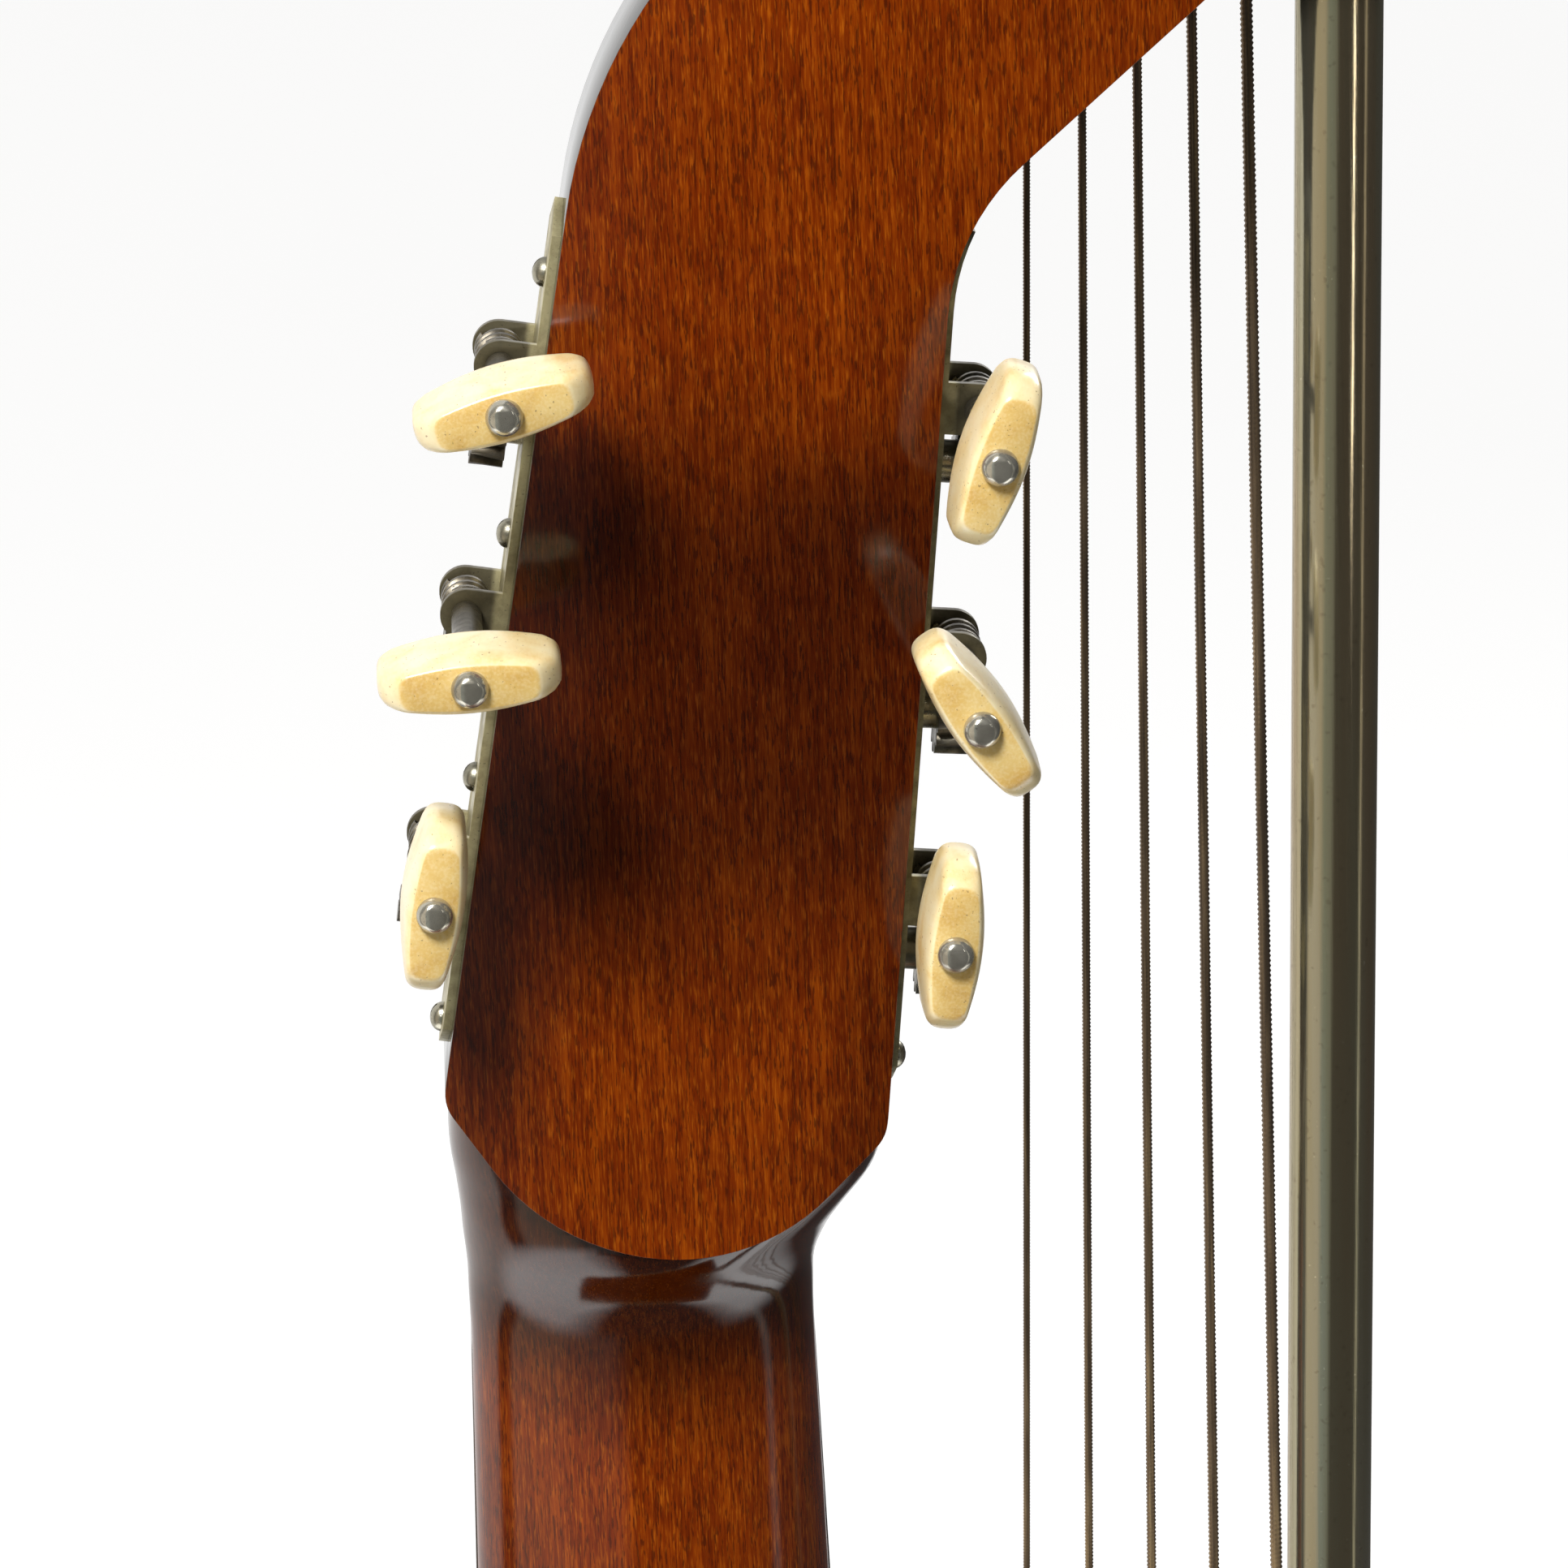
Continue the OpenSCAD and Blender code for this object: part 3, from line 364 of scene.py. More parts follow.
def bone():
    """Old bone: cream with an ochre outer face, hair-fine grain along the button and brown specks."""
    s = Shader("old_bone", Roughness=0.34, Coat_Weight=0.4, Coat_Roughness=0.16, Subsurface_Weight=0.10,
               Subsurface_Scale=0.0012)
    s.bsdf.inputs["Subsurface Radius"].default_value = (1.0, 0.75, 0.4)
    stains = s.noise(170.0, detail=4, roughness=0.55, distortion=0.4)
    grain = s.noise(1.0, (2600, 700, 2600), detail=3)
    specks = s.noise(1.0, (2300, 1100, 2300), detail=1)
    outer = s.smooth(s.axis(s.place.outputs["Normal"], "Y"), 0.80, 0.97)
    cream = s.ramp(stains, (0.36, (0.86, 0.74, 0.46)), (0.56, (0.82, 0.65, 0.33)),
                   (0.72, (0.74, 0.52, 0.20)))
    ochre = s.ramp(stains, (0.34, (0.78, 0.57, 0.22)), (0.54, (0.72, 0.48, 0.145)),
                   (0.72, (0.60, 0.35, 0.085)))
    colour = s.mix(outer, cream, ochre)
    colour = s.mix(s.smooth(grain, 0.38, 0.7, 0.0, 0.22), colour, (0.92, 0.82, 0.56))
    colour = s.mix(s.smooth(specks, 0.70, 0.76, 0.0, 0.65), colour, (0.26, 0.14, 0.05))
    return s.finish(Base_Color=colour, Normal=s.bump(grain, 0.00003, 0.3))


def celluloid():
    """Cream bindings, a little cloudy."""
    s = Shader("celluloid", Roughness=0.3, Coat_Weight=0.5, Coat_Roughness=0.1)
    clouds = s.noise(60.0, detail=3)
    return s.finish(Base_Color=s.ramp(clouds, (0.35, (0.80, 0.60, 0.30)), (0.65, (0.88, 0.74, 0.46))))


def pearl():
    """Position dots with a pink and green sheen."""
    s = Shader("pearl", Roughness=0.18, Coat_Weight=0.6, Coat_Roughness=0.05)
    sheen = s.noise(260.0, detail=3, distortion=1.5)
    return s.finish(Base_Color=s.ramp(sheen, (0.3, (0.75, 0.80, 0.74)), (0.5, (0.92, 0.88, 0.80)),
                                      (0.7, (0.72, 0.74, 0.84))))


def old_metal(name, light, dark, rough, pits=0.5, metallic=1.0, dark_ears=False):
    """Aged plated metal: mottled colour and gloss, small pits, and fine scratches.

    With dark_ears, what stands out from the neck head's sides is much darker.
    """
    s = Shader(name, Metallic=metallic)
    mottle = s.noise(220.0, detail=5, roughness=0.65)
    darkening = s.noise(60.0, detail=3)
    pit = s.noise(2600.0, detail=2)
    scratch = s.noise(1.0, (400, 400, 5200), detail=2, turn=(0.2, 0.35, 0.1))
    colour = s.mix(s.smooth(mottle, 0.38, 0.66, 0.0, 1.0), light, dark)
    colour = s.mix(s.smooth(darkening, 0.45, 0.75, 0.0, 0.5), colour, (0.75, 0.68, 0.5), "MULTIPLY")
    colour = s.mix(s.smooth(pit, 0.66, 0.74, 0.0, 0.6), colour, tuple(0.2 * c for c in dark))
    if dark_ears:
        across, up = head_place(s)
        from_middle = s.math("ADD", s.math("ABSOLUTE", across), s.math("MULTIPLY", up, HEAD_TAPER))
        ear = s.smooth(from_middle, PLATE_FACE + 0.0005, PLATE_FACE + 0.0015, 0.0, 0.85)
        colour = s.mix(ear, colour, (0.15, 0.14, 0.15), "MULTIPLY")
    gloss = s.smooth(mottle, 0.35, 0.65, *rough)
    relief = s.math("ADD", s.math("MULTIPLY", s.smooth(pit, 0.62, 0.74), -pits),
                    s.math("MULTIPLY", scratch, 0.12))
    return s.finish(Base_Color=colour, Roughness=gloss, Normal=s.bump(relief, 0.00004, 0.5))


def column_metal():
    """Drawn nickel tube: fine lines along it, olive tarnish in long soft bands and a few pits."""
    s = Shader("column_nickel", Metallic=0.92)
    lines = s.noise(1.0, (5200, 5200, 14), detail=3, roughness=0.6)
    tarnish = s.noise(1.0, (190, 190, 4), detail=3)
    pit = s.noise(2100.0, detail=2)
    spot = s.noise(900.0, detail=3)
    colour = s.ramp(tarnish, (0.34, (0.42, 0.33, 0.20)), (0.5, (0.40, 0.36, 0.235)),
                    (0.66, (0.43, 0.41, 0.31)))
    colour = s.mix(s.smooth(spot, 0.62, 0.72, 0.0, 0.35), colour, (0.22, 0.17, 0.10))
    colour = s.mix(s.smooth(pit, 0.71, 0.76, 0.0, 0.6), colour, (0.80, 0.76, 0.60))
    gloss = s.smooth(lines, 0.3, 0.7, 0.08, 0.17)
    return s.finish(Base_Color=colour, Roughness=gloss, Normal=s.bump(lines, 0.00002, 0.3))


def string_metal(name, colours, rough):
    """Wire that is darker with age and a little brighter here and there along its length."""
    s = Shader(name, Metallic=1.0)
    age = s.noise(1.0, (60, 60, 22), detail=4, roughness=0.65)
    grit = s.noise(3000.0, detail=2)
    low, middle, high = colours
    colour = s.ramp(age, (0.34, low), (0.52, middle), (0.72, high))
    return s.finish(Base_Color=colour, Roughness=s.smooth(grit, 0.3, 0.7, rough - 0.08, rough + 0.12))


def wound_metal():
    """Bronze winding that is nearly black with tarnish near the head and brassier further down."""
    s = Shader("wound_bronze", Metallic=0.7)
    age = s.noise(1.0, (900, 900, 38), detail=4, roughness=0.65)
    height = s.axis(s.place.outputs["Object"], "Z")
    lower = s.smooth(height, 0.66, 0.86, 0.22, 0.0)
    value = s.math("ADD", age, lower)
    colour = s.ramp(value, (0.38, (0.10, 0.072, 0.050)), (0.58, (0.20, 0.14, 0.085)),
                    (0.85, (0.50, 0.36, 0.19)))
    return s.finish(Base_Color=colour, Roughness=s.smooth(age, 0.3, 0.7, 0.34, 0.48))


# ----------------------------------------------------------------- meshes

def make_piece(name, mesh, material, body, smooth=35.0, bevel=None):
    """A finished object from a bmesh, shaded and riding on its body; bevel is (width, segments, angle)."""
    bmesh.ops.recalc_face_normals(mesh, faces=mesh.faces)
    data = bpy.data.meshes.new(name)
    mesh.to_mesh(data)
    mesh.free()
    data.materials.append(material)
    piece = bpy.data.objects.new(name, data)
    bpy.context.scene.collection.objects.link(piece)
    if bevel:
        width, segments, angle = bevel
        modifier = piece.modifiers.new("bevel", "BEVEL")
        modifier.width = width
        modifier.segments = segments
        modifier.limit_method = "ANGLE"
        modifier.angle_limit = math.radians(angle)
        modifier.harden_normals = False
        modifier.use_clamp_overlap = True
        modifier.miter_outer = "MITER_ARC"
        apply_modifiers(piece)
    shade(piece, smooth)
    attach(piece, body)
    return piece


def apply_modifiers(piece):
    """Makes a piece's modifiers part of its mesh."""
    depsgraph = bpy.context.evaluated_depsgraph_get()
    done = bpy.data.meshes.new_from_object(piece.evaluated_get(depsgraph))
    piece.modifiers.clear()
    old = piece.data
    piece.data = done
    bpy.data.meshes.remove(old)


def shade(piece, angle):
    """Smooth faces, with edges sharper than the angle kept crisp."""
    data = piece.data
    mesh = bmesh.new()
    mesh.from_mesh(data)
    limit = math.radians(angle)
    for face in mesh.faces:
        face.smooth = True
    for edge in mesh.edges:
        edge.smooth = edge.is_manifold and edge.calc_face_angle(0.0) < limit
    mesh.to_mesh(data)
    mesh.free()


def joined_mesh(node):
    """A CAD node's mesh as a bmesh whose faces share their corners."""
    mesh = bmesh.new()
    mesh.from_mesh(nodes[node].data)
    bmesh.ops.remove_doubles(mesh, verts=mesh.verts, dist=0.002 * MM)
    return mesh


def cad_mesh(node, keep=None):
    """A CAD node's mesh as a bmesh with its flat faces whole again; keep chooses vertices."""
    mesh = joined_mesh(node)
    if keep:
        bmesh.ops.delete(mesh, geom=[v for v in mesh.verts if not keep(v.co)], context="VERTS")
    bmesh.ops.dissolve_degenerate(mesh, edges=mesh.edges, dist=0.001 * MM)
    bmesh.ops.dissolve_limit(mesh, verts=mesh.verts, edges=mesh.edges, angle_limit=math.radians(0.6))
    return mesh


def refined(node, material, width, segments=2, smooth=35.0, angle=30.0):
    """A CAD node with its edges softened by width millimetres, standing for the node itself."""
    piece = make_piece(node + "_shown", cad_mesh(node), material, ROOT, smooth,
                       (width * MM, segments, angle))
    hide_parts(node)


def paint(node, material):
    """A CAD node that keeps its own mesh and takes a finish."""
    data = nodes[node].data
    data.materials.clear()
    data.materials.append(material)
    for polygon in data.polygons:
        polygon.use_smooth = True


def spoke(u, v, k, sides):
    """The direction of the k-th of several evenly spread spokes between two axes."""
    turn = 2 * math.pi * k / sides
    return math.cos(turn) * u + math.sin(turn) * v


def ring_of(centre, u, v, r, sides):
    """The corners of a regular polygon round a centre, in the plane of two axes."""
    return [centre + r * spoke(u, v, k, sides) for k in range(sides)]


def skin(mesh, rings):
    """Quads between closed rings of points, with flat caps."""
    made = [[mesh.verts.new(p) for p in ring] for ring in rings]
    count = len(made[0])
    for low, high in zip(made, made[1:]):
        for k in range(count):
            mesh.faces.new((low[k], low[(k + 1) % count], high[(k + 1) % count], high[k]))
    mesh.faces.new(list(reversed(made[0])))
    mesh.faces.new(made[-1])


def lathe(mesh, centre, axis, profile, sides, ripple=None):
    """Turns a profile of (radius, height) pairs round an axis; ripple scales the radius by the turn."""
    u = axis.orthogonal().normalized()
    v = axis.cross(u)
    rings = []
    for radius, height in profile:
        rings.append([centre + height * axis
                      + radius * (ripple(k / sides, radius) if ripple else 1.0) * spoke(u, v, k, sides)
                      for k in range(sides)])
    skin(mesh, rings)


# How far the surface rises from core to crest, over one pitch: round wire, and a worm's thread
WIRE = (0.0, 1.0)
THREAD = (0.0, 0.15, 0.95, 1.0, 0.95, 0.15)


def wound_tube(mesh, path, core, crest, pitch, sides, form):
    """A rod along a straight path with a helical winding: each row of points follows the helix."""
    start, end = path
    axis = (end - start).normalized()
    u = axis.orthogonal().normalized()
    v = axis.cross(u)
    length = (end - start).length
    phases = len(form)
    rows = int((length - pitch) / pitch * phases) + 1
    made = []
    for row in range(rows):
        r = core + (crest - core) * form[row % phases]
        made.append([mesh.verts.new(start + (row / phases + k / sides) * pitch * axis
                                    + r * spoke(u, v, k, sides))
                     for k in range(sides)])
    for row in range(rows - 1):
        for k in range(sides - 1):
            mesh.faces.new((made[row][k], made[row][k + 1], made[row + 1][k + 1], made[row + 1][k]))
        if row + phases + 1 < rows:
            mesh.faces.new((made[row][sides - 1], made[row + phases][0],
                            made[row + phases + 1][0], made[row + 1][sides - 1]))
    skin(mesh, [ring_of(p, u, v, core * 0.995, sides) for p in path])


# ---------------------------------------------------------- tuning machines

class Machine:
    """One tuning machine, placed by its two joints: the key's, along Y, and the roller's, out of the wood."""

    def __init__(self, number):
        self.number = number
        self.key, self.roller = f"key_{number}", f"roller_{number}"
        self.centre = Vector(joint_of[self.key]["pos_m"])
        self.gear = Vector(joint_of[self.roller]["pos_m"])
        self.out = Vector(joint_of[self.roller]["axis"]).normalized()
        low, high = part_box(f"button_{number}")
        # the button's lower and upper faces, in millimetres from the middle of the worm
        self.foot = (low.y - self.centre.y) / MM
        self.rim = (high.y - self.centre.y) / MM

    def on_shaft(self, y):
        """A point of the key's shaft, in millimetres from the middle of its worm."""
        return self.centre + MM * (y * Y_AXIS)


# A button in millimetres: its length, half its width at the ends and at their rounded corners,
# how much wider each side is in the middle, and the corners' radius
BUTTON_LEN = 24.5
END_HALF, TIP_HALF, BOW = 2.4, 0.35, 2.0
CORNER = 2.0
SIDE_STEPS = 18           # from a long face's middle to its end
# Share of the depth from the foot, shortening at each end in millimetres, share of the width
BUTTON_PROFILE = (
    (0.0, 2.4, 0.80), (0.03, 1.7, 0.89), (0.09, 0.8, 0.96), (0.19, 0.0, 1.0), (0.42, 0.0, 0.985),
    (0.62, 0.05, 0.95), (0.76, 0.5, 0.915), (0.86, 1.3, 0.875), (0.925, 2.0, 0.825), (0.965, 2.5, 0.775),
    (0.99, 2.95, 0.71), (1.0, 3.5, 0.63))


def button(m, material):
    """A bone button: bowed long faces that lean in, chamfered ends and softly rounded edges."""
    name = f"button_{m.number}"
    flat = [Vector((v.co.x - m.centre.x, 0, v.co.z - m.centre.z)) for v in nodes[name].data.vertices]
    far = max(flat, key=lambda p: p.length)
    # the corners of both ends, turned to one side, add up to the button's own direction
    along = Vector((0, 0, 0))
    for p in flat:
        if p.length > far.length - END_HALF / 2 * MM:
            along += p if p.dot(far) > 0 else -p
    along.normalize()
    across = along.cross(Y_AXIS)
    mesh = bmesh.new()
    half = BUTTON_LEN / 2
    rings = []
    for height, short, share in BUTTON_PROFILE:
        reach = half - short
        side = []
        for k in range(-SIDE_STEPS, SIDE_STEPS + 1):
            z = reach * math.sin(math.pi / 2 * k / SIDE_STEPS)
            corner = max(0.0, (abs(z) - reach + CORNER) / CORNER)
            width = share * (END_HALF + BOW * math.cos(math.pi / 2 * z / half))
            side.append((max(TIP_HALF, width * (1 - corner ** 3) ** (1 / 3)), z))
        outline = side + [(-x, z) for x, z in reversed(side)]
        depth = m.foot + height * (m.rim - m.foot)
        rings.append([m.centre + MM * (x * across + z * along + depth * Y_AXIS) for x, z in outline])
    skin(mesh, rings)
    piece = make_piece(f"bone_{name}", mesh, material, m.key, 38.0)
    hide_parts(name)


def rivet(m, material):
    """The polished head that holds a button: a dome with a squarish flat on top."""
    mesh = bmesh.new()
    top = m.on_shaft(m.rim - 0.05)

    def ripple(turn, radius):
        on_flat_edge = 1.2 * MM < radius < 1.6 * MM
        return 1.0 + (0.09 * math.cos(4 * 2 * math.pi * turn) if on_flat_edge else 0.0)

    profile = [(2.46, 0.0), (2.5, 0.2), (2.5, 0.5), (2.44, 0.85), (2.3, 1.2), (2.1, 1.5), (1.84, 1.78),
               (1.56, 1.97), (1.36, 2.06), (1.26, 2.09), (0.6, 2.12), (0.05, 2.12)]
    lathe(mesh, top, Y_AXIS, [(r * MM, h * MM) for r, h in profile], 48, ripple)
    make_piece(f"rivet_{m.number}", mesh, material, m.key, 42.0)


# The gear's pitch radius and teeth, and the worm's half length and its radii, in millimetres
GEAR_PITCH_R, GEAR_TEETH = 6.0, 14
WORM_HALF, WORM_ROOT_R, WORM_CREST_R = 5.6, 2.2, 3.4


def worm(m, material):
    """The worm's thread, its two journals and the shaft that carries the button."""
    mesh = bmesh.new()
    lead = 2 * math.pi * GEAR_PITCH_R / GEAR_TEETH
    ends = (m.on_shaft(-WORM_HALF), m.on_shaft(WORM_HALF))
    wound_tube(mesh, ends, WORM_ROOT_R * MM, WORM_CREST_R * MM, lead * MM, 28, THREAD)
    profile = [(1.2, -8.3), (1.6, -8.1), (1.7, -7.7), (1.7, 7.2), (2.1, 7.3), (2.1, m.foot - 0.9),
               (2.35, m.foot - 0.6), (2.35, m.foot + 0.1), (1.5, m.foot + 0.2), (1.5, m.rim)]
    lathe(mesh, m.centre, Y_AXIS, [(r * MM, h * MM) for r, h in profile], 28)
    piece = make_piece(f"worm_{m.number}_shown", mesh, material, m.key, 50.0)
    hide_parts(f"worm_{m.number}")


# A roller's shaft and core, in metres along its axis from the gear's middle, and their radii
GEAR_SIDE = 3.3 * MM      # how far the gear itself stands clear of the wood
SHAFT_LEN = 5.7 * MM      # from the gear to the core
CORE_R, SHAFT_R = 4.5 * MM, 3.0 * MM


def roller(m, steel, core_material, string_material, wound):
    """The gear with its shaft, the core that the string winds on, and the turns of string."""
    name = f"roller_{m.number}"

    def axial(p):
        return (p - m.gear).dot(m.out)

    def off_axis(p):
        return ((p - m.gear) - axial(p) * m.out).length

    mesh = cad_mesh(name, lambda p: axial(p) > GEAR_SIDE - SHAFT_LEN)
    open_edges = [e for e in mesh.edges if e.is_boundary]
    if open_edges:
        bmesh.ops.holes_fill(mesh, edges=open_edges, sides=0)
    piece = make_piece(name + "_gear", mesh, steel, m.roller, 35.0, (0.07 * MM, 1, 30.0))
    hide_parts(name)

    points = [v.co for v in nodes[name].data.vertices]
    end = min(axial(p) for p in points)
    in_wood = [p for p in points if axial(p) < -6 * MM]
    crest = max(off_axis(p) for p in in_wood)
    turns = [axial(p) for p in in_wood if off_axis(p) > crest - 0.02 * MM]
    mesh = bmesh.new()
    profile = [(CORE_R - 0.6 * MM, end), (CORE_R, end + 0.5 * MM), (CORE_R, -SHAFT_LEN - 0.4 * MM),
               (SHAFT_R, -SHAFT_LEN), (SHAFT_R, -1.5 * MM)]
    lathe(mesh, m.gear, m.out, profile, 32)
    make_piece(name + "_core", mesh, core_material, m.roller, 40.0)
    windings(m, min(turns), max(turns), crest - CORE_R, string_material, wound)


def windings(m, low, high, thick, material, wound):
    """The turns of string on a roller, side by side from where the string arrives at its front."""
    mesh = bmesh.new()
    count = max(2, round((high - low) / thick))
    steps, sides = 40, 8
    front = -Y_AXIS
    side = m.out.cross(front)
    rings = []
    r = CORE_R + thick / 2
    total = int(steps * (count - 0.5))
    for k in range(total + 1):
        angle = 2 * math.pi * k / steps - 0.5
        x = low + thick / 2 + (high - low - thick) * k / total
        outward = math.cos(angle) * front + math.sin(angle) * side
        ridge = 0.5 * thick * (1.0 - (0.06 if wound and k % 2 else 0.0))
        rings.append(ring_of(m.gear + x * m.out + r * outward, m.out, outward, ridge, sides))
    skin(mesh, rings)
    make_piece(f"{m.roller}_turns", mesh, material, m.roller,
               60.0)


# ----------------------------------------------------------------- strings

STRING_RINGS = 4          # a CAD string's rings of points, from the bridge to the roller
PLAIN_STRINGS = 3
MAIN_PITCH = 0.45 * MM    # of the winding on the fretted strings
BASS_PITCH, BASS_PITCH_STEP = 0.42, 0.065     # of the sub-bass strings, in millimetres


def string_paths(node):
    """The centre points and the radius of every string in a CAD node, from its rings of points."""
    mesh = joined_mesh(node)
    found, left = [], set(mesh.verts)
    while left:
        todo, island = [left.pop()], []
        while todo:
            vertex = todo.pop()
            island.append(vertex.co.copy())
            for edge in vertex.link_edges:
                other = edge.other_vert(vertex)
                if other in left:
                    left.remove(other)
                    todo.append(other)
        island.sort(key=lambda p: p.z)
        count = len(island) // STRING_RINGS
        rings = [island[k * count:(k + 1) * count] for k in range(STRING_RINGS)]
        centres = [sum(r, Vector()) / len(r) for r in rings]
        found.append((centres, max((p - centres[1]).length for p in rings[1])))
    mesh.free()
    return sorted(found, key=lambda s: -s[0][1].x)


def plain_string(name, centres, radius, material):
    """A smooth wire, with a ring of points every 50 mm or so."""
    mesh = bmesh.new()
    for a, b in zip(centres, centres[1:]):
        axis = (b - a).normalized()
        u = axis.orthogonal().normalized()
        v = axis.cross(u)
        parts = max(1, int((b - a).length / 0.05))
        skin(mesh, [ring_of(a.lerp(b, k / parts), u, v, radius, 12) for k in range(parts + 1)])
    return make_piece(name, mesh, material, ROOT, 50.0)


def wound_string(name, centres, radius, pitch, material):
    """A wire wound with a thinner one."""
    mesh = bmesh.new()
    for path in zip(centres, centres[1:]):
        wound_tube(mesh, path, radius * 0.82, radius * 1.04, pitch, 8, WIRE)
    return make_piece(name, mesh, material, ROOT, 85.0)


def add_strings(plain, wound):
    """Three plain and three wound strings over the fingerboard, and five wound sub-bass strings."""
    first = None
    for k, (centres, radius) in enumerate(string_paths("strings_main"), 1):
        if k <= PLAIN_STRINGS:
            piece = plain_string(f"string_{k}", centres, radius, plain)
        else:
            piece = wound_string(f"string_{k}", centres, radius, MAIN_PITCH, wound)
        first = first or piece
    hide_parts("strings_main")
    first = None
    for k, (centres, radius) in enumerate(string_paths("strings_bass"), 1):
        pitch = (BASS_PITCH + BASS_PITCH_STEP * k) * MM
        piece = wound_string(f"bass_string_{k}", centres, radius, pitch, wound)
        first = first or piece
    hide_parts("strings_bass")


# ------------------------------------------------------------------- stage

# Brightness by the angle from +Y towards +X in degrees: the studio round the instrument, and the
# floor's glow within its reach, painted light that is bright at both flanks and dark before and behind it
SURROUND = (
    (-180, 1.0), (-166, 1.0), (-158, 0.05), (-72, (0.05, 0.05, 0.055)), (-69, (0.6, 0.6, 0.55)),
    (-66, (0.6, 0.6, 0.55)), (-63, 0.03), (-32, 0.012), (6, 0.012), (14, (0.23, 0.26, 0.25)),
    (34, (0.30, 0.34, 0.32)), (42, (0.62, 0.54, 0.43)), (76, (0.72, 0.64, 0.52)), (82, 0.05),
    (93, 0.05), (99, (0.95, 0.92, 0.86)), (180, 1.0))
FLANKS = (
    (-180, 0.05), (-140, 0.05), (-110, 2.4), (-62, 2.4), (-38, 0.05), (20, 0.05), (46, 2.4),
    (110, 2.4), (140, 0.05), (180, 0.05))
FLOOR_GLOW = 0.82         # of the floor as the camera sees it
FLOOR_REACH = 60.0


def surround(tree, vector, table=SURROUND):
    """A colour that depends on the direction of a vector round the upright axis."""
    split = tree.nodes.new("ShaderNodeSeparateXYZ")
    tree.links.new(vector, split.inputs["Vector"])
    turn = tree.nodes.new("ShaderNodeMath")
    turn.operation = "ARCTAN2"
    tree.links.new(split.outputs["X"], turn.inputs[0])
    tree.links.new(split.outputs["Y"], turn.inputs[1])
    share = tree.nodes.new("ShaderNodeMapRange")
    for key, number in (("From Min", -math.pi), ("From Max", math.pi), ("To Min", 0.0), ("To Max", 1.0)):
        share.inputs[key].default_value = number
    tree.links.new(turn.outputs[0], share.inputs["Value"])
    ramp = tree.nodes.new("ShaderNodeValToRGB")
    elements = ramp.color_ramp.elements
    while len(elements) < len(table):
        elements.new(0.5)
    for element, (angle, colour) in zip(elements, table):
        element.position = (angle + 180) / 360
        element.color = rgba(colour)
    tree.links.new(share.outputs["Result"], ramp.inputs["Fac"])
    return ramp.outputs["Color"]


def add_floor():
    """A wide pale floor under the end peg that glows: evenly for the camera, and for the instrument as
    painted light, bright at the flanks close by and like the surround further off.
    """
    s = Shader("floor_pale", Roughness=0.9, Specular_IOR_Level=0.1, Emission_Strength=1.0)
    seen = s.add("ShaderNodeLightPath").outputs["Is Camera Ray"]
    tone = s.ramp(s.noise(0.4, detail=2), (0.3, (0.26, 0.26, 0.26)), (0.7, (0.28, 0.28, 0.28)))
    base = s.mix(seen, (0.02, 0.02, 0.02), tone)
    place = s.place.outputs["Object"]
    length = s.add("ShaderNodeVectorMath", operation="LENGTH")
    s.link(place, length.inputs[0])
    near = s.smooth(length.outputs["Value"], 0.75, 1.25, 1.0, 0.0)
    # The floor's glow that lights the instrument is painted light: from the flanks close by, from the
    # surround further off.
    glow = s.mix(near, surround(s.tree, place), surround(s.tree, place, FLANKS))
    glow = s.mix(seen, glow, (FLOOR_GLOW,) * 3)
    s.finish(Base_Color=base, Emission_Color=glow)
    mesh = bmesh.new()
    height = cad_box[0].z - 0.5 * MM
    mesh.faces.new([mesh.verts.new((x * FLOOR_REACH, y * FLOOR_REACH, height))
                    for x, y in ((-1, -1), (1, -1), (1, 1), (-1, 1))])
    data = bpy.data.meshes.new("floor")
    mesh.to_mesh(data)
    mesh.free()
    data.materials.append(s.material)
    floor = bpy.data.objects.new("floor", data)
    bpy.context.scene.collection.objects.link(floor)


def add_world():
    """White where the camera looks past the instrument; light and reflections come from the surround."""
    world = bpy.data.worlds.new("studio")
    bpy.context.scene.world = world
    world.use_nodes = True
    tree = world.node_tree
    sky = tree.nodes["Background"]
    place = tree.nodes.new("ShaderNodeTexCoord")
    seen = tree.nodes.new("ShaderNodeLightPath")
    pick = tree.nodes.new("ShaderNodeMix")
    pick.data_type = "RGBA"
    tree.links.new(seen.outputs["Is Camera Ray"], pick.inputs["Factor"])
    tree.links.new(surround(tree, place.outputs["Generated"]), pick.inputs[6])
    pick.inputs[7].default_value = (0.97, 0.97, 0.97, 1)
    tree.links.new(pick.outputs[2], sky.inputs["Color"])
    sky.inputs["Strength"].default_value = 1.0


def add_light(name, place, aim, width, height, power):
    """A rectangular light that the camera doesn't see, turned towards what it is aimed at."""
    data = bpy.data.lights.new(name, "AREA")
    data.shape = "RECTANGLE"
    data.size, data.size_y = width, height
    data.energy = power
    light = bpy.data.objects.new(name, data)
    light.location = place
    light.rotation_mode = "QUATERNION"
    light.rotation_quaternion = (aim - place).to_track_quat("-Z", "Y")
    light.visible_camera = False
    bpy.context.scene.collection.objects.link(light)


def add_lights():
    head = Vector((-0.02, -0.03, 0.90))
    add_light("key", head + Vector((0.75, 1.45, 1.9)), head, 0.7, 0.7, 88)
    add_light("strip", head + Vector((-1.1, 1.5, 0.5)), head, 0.10, 1.0, 2.0)
    add_light("front_key", Vector((-1.4, -2.2, 2.0)), Vector((0, 0, 0.5)), 1.0, 1.0, 30)


# -------------------------------------------------------------- the object

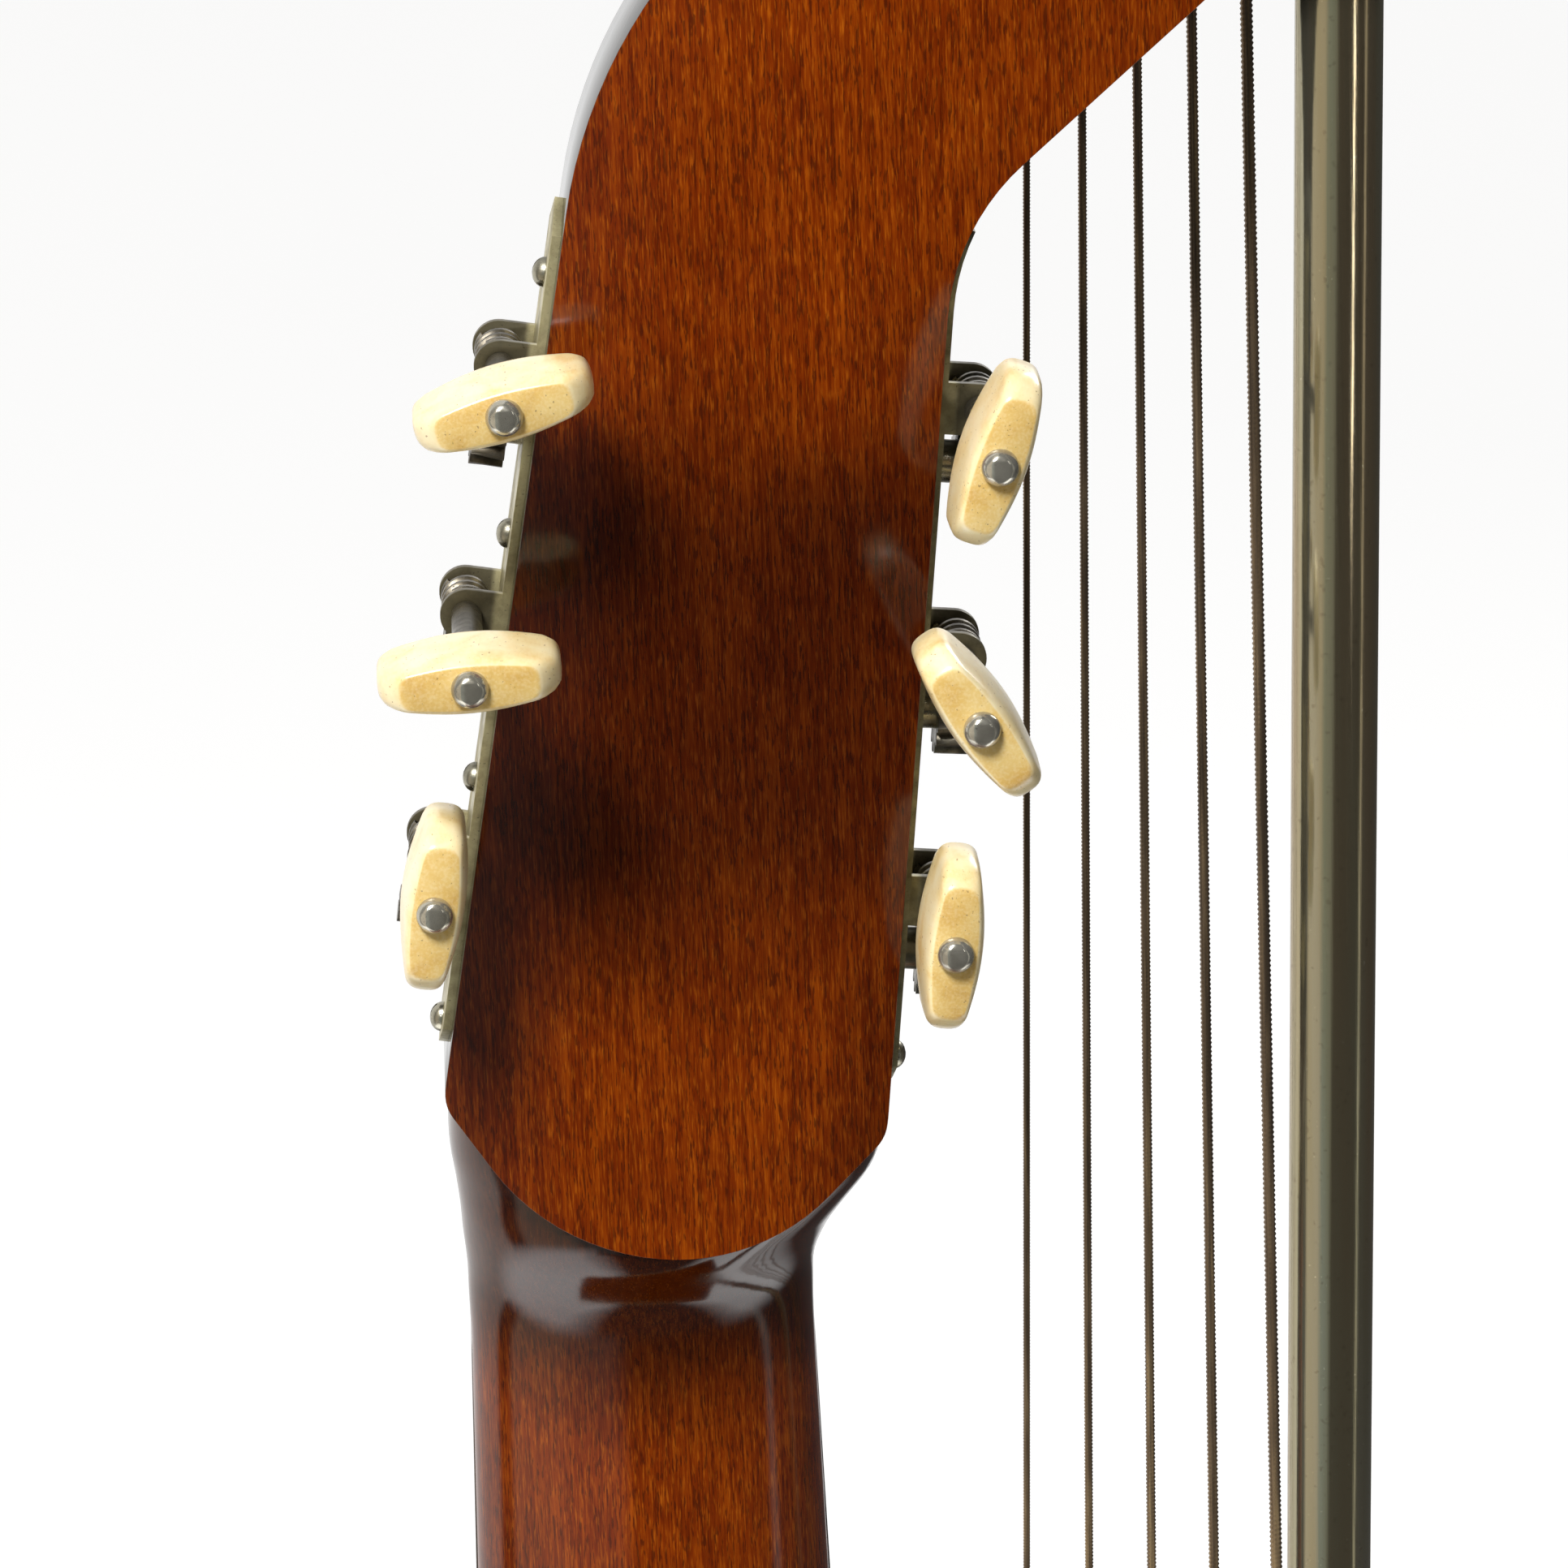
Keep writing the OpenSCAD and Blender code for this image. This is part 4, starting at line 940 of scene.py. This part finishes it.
def build():
    """Every finish, then every CAD node refined, painted or replaced."""
    head_wood = beech("beech_head", True, head_darkening)
    neck_wood = beech("beech_neck", False, neck_painted_shade, 1.6)
    body_wood = beech("beech_body", False, None)
    steel = old_metal("tuner_steel", (0.17, 0.15, 0.115), (0.060, 0.052, 0.040), (0.26, 0.45),
                      metallic=0.85)
    plate_look = ((0.46, 0.41, 0.235), (0.26, 0.225, 0.12), (0.30, 0.48))
    plate = old_metal("aged_nickel", *plate_look, metallic=0.55, dark_ears=True)
    bass_plate = old_metal("aged_nickel_bass", *plate_look, metallic=0.55)
    polish = old_metal("rivet_nickel", (0.50, 0.48, 0.41), (0.32, 0.30, 0.25), (0.14, 0.27), pits=0.2,
                       metallic=0.75)
    screw = old_metal("screw_nickel", (0.42, 0.40, 0.32), (0.18, 0.17, 0.13), (0.24, 0.45))
    plain = string_metal("string_steel", ((0.30, 0.28, 0.25), (0.50, 0.48, 0.43), (0.62, 0.60, 0.54)), 0.28)
    fret = string_metal("fret_nickel", ((0.5, 0.49, 0.44), (0.62, 0.6, 0.54), (0.7, 0.68, 0.62)), 0.2)
    wound = wound_metal()
    ivory = bone()
    black = blackwood("blackwood")
    side_black = blackwood("blackwood_bridge", (0, math.radians(90), 0))
    cream = celluloid()
    tube = column_metal()
    core = old_metal("roller_nickel", (0.50, 0.47, 0.38), (0.30, 0.28, 0.21), (0.22, 0.40))

    refined("harp_head", head_wood, width=0.9, segments=4, smooth=32)
    refined("neck", neck_wood, width=0.25, segments=2, smooth=40, angle=48)
    refined("head_tuner_plates", plate, width=0.16)
    refined("bass_tuner_plates", bass_plate, width=0.16)
    refined("plate_screws", screw, width=0.08, segments=1)
    refined("column", tube, width=0.15)
    refined("column_sockets", tube, width=0.35)
    refined("fingerboard", black, width=0.35)
    refined("frets", fret, width=0.15, smooth=50)
    refined("nuts", ivory, width=0.35)
    refined("saddles", ivory, width=0.3)
    refined("bridge", side_black, width=0.8, segments=3)
    refined("bridge_pins", ivory, width=0.15, smooth=50)
    refined("end_pin", black, width=0.4, smooth=50)
    refined("bindings", cream, width=0.5, segments=3, angle=50)
    for node, material in (("soundboard", spruce()), ("back_plate", body_wood), ("rib_treble", body_wood),
                           ("rib_bass", body_wood), ("rosette", rosette()), ("position_dots", pearl())):
        paint(node, material)
    inside = inner_wood()
    for node in ("linings", "end_blocks", "top_braces", "back_braces"):
        paint(node, inside)
    for number in range(1, TUNERS + 1):
        machine = Machine(number)
        is_wound = number > PLAIN_STRINGS
        button(machine, ivory)
        rivet(machine, polish)
        worm(machine, steel)
        roller(machine, steel, core, wound if is_wound else plain, is_wound)
    add_strings(plain, wound)


add_camera()
add_world()
add_lights()
add_floor()
build()
bpy.context.scene.view_settings.view_transform = "Standard"
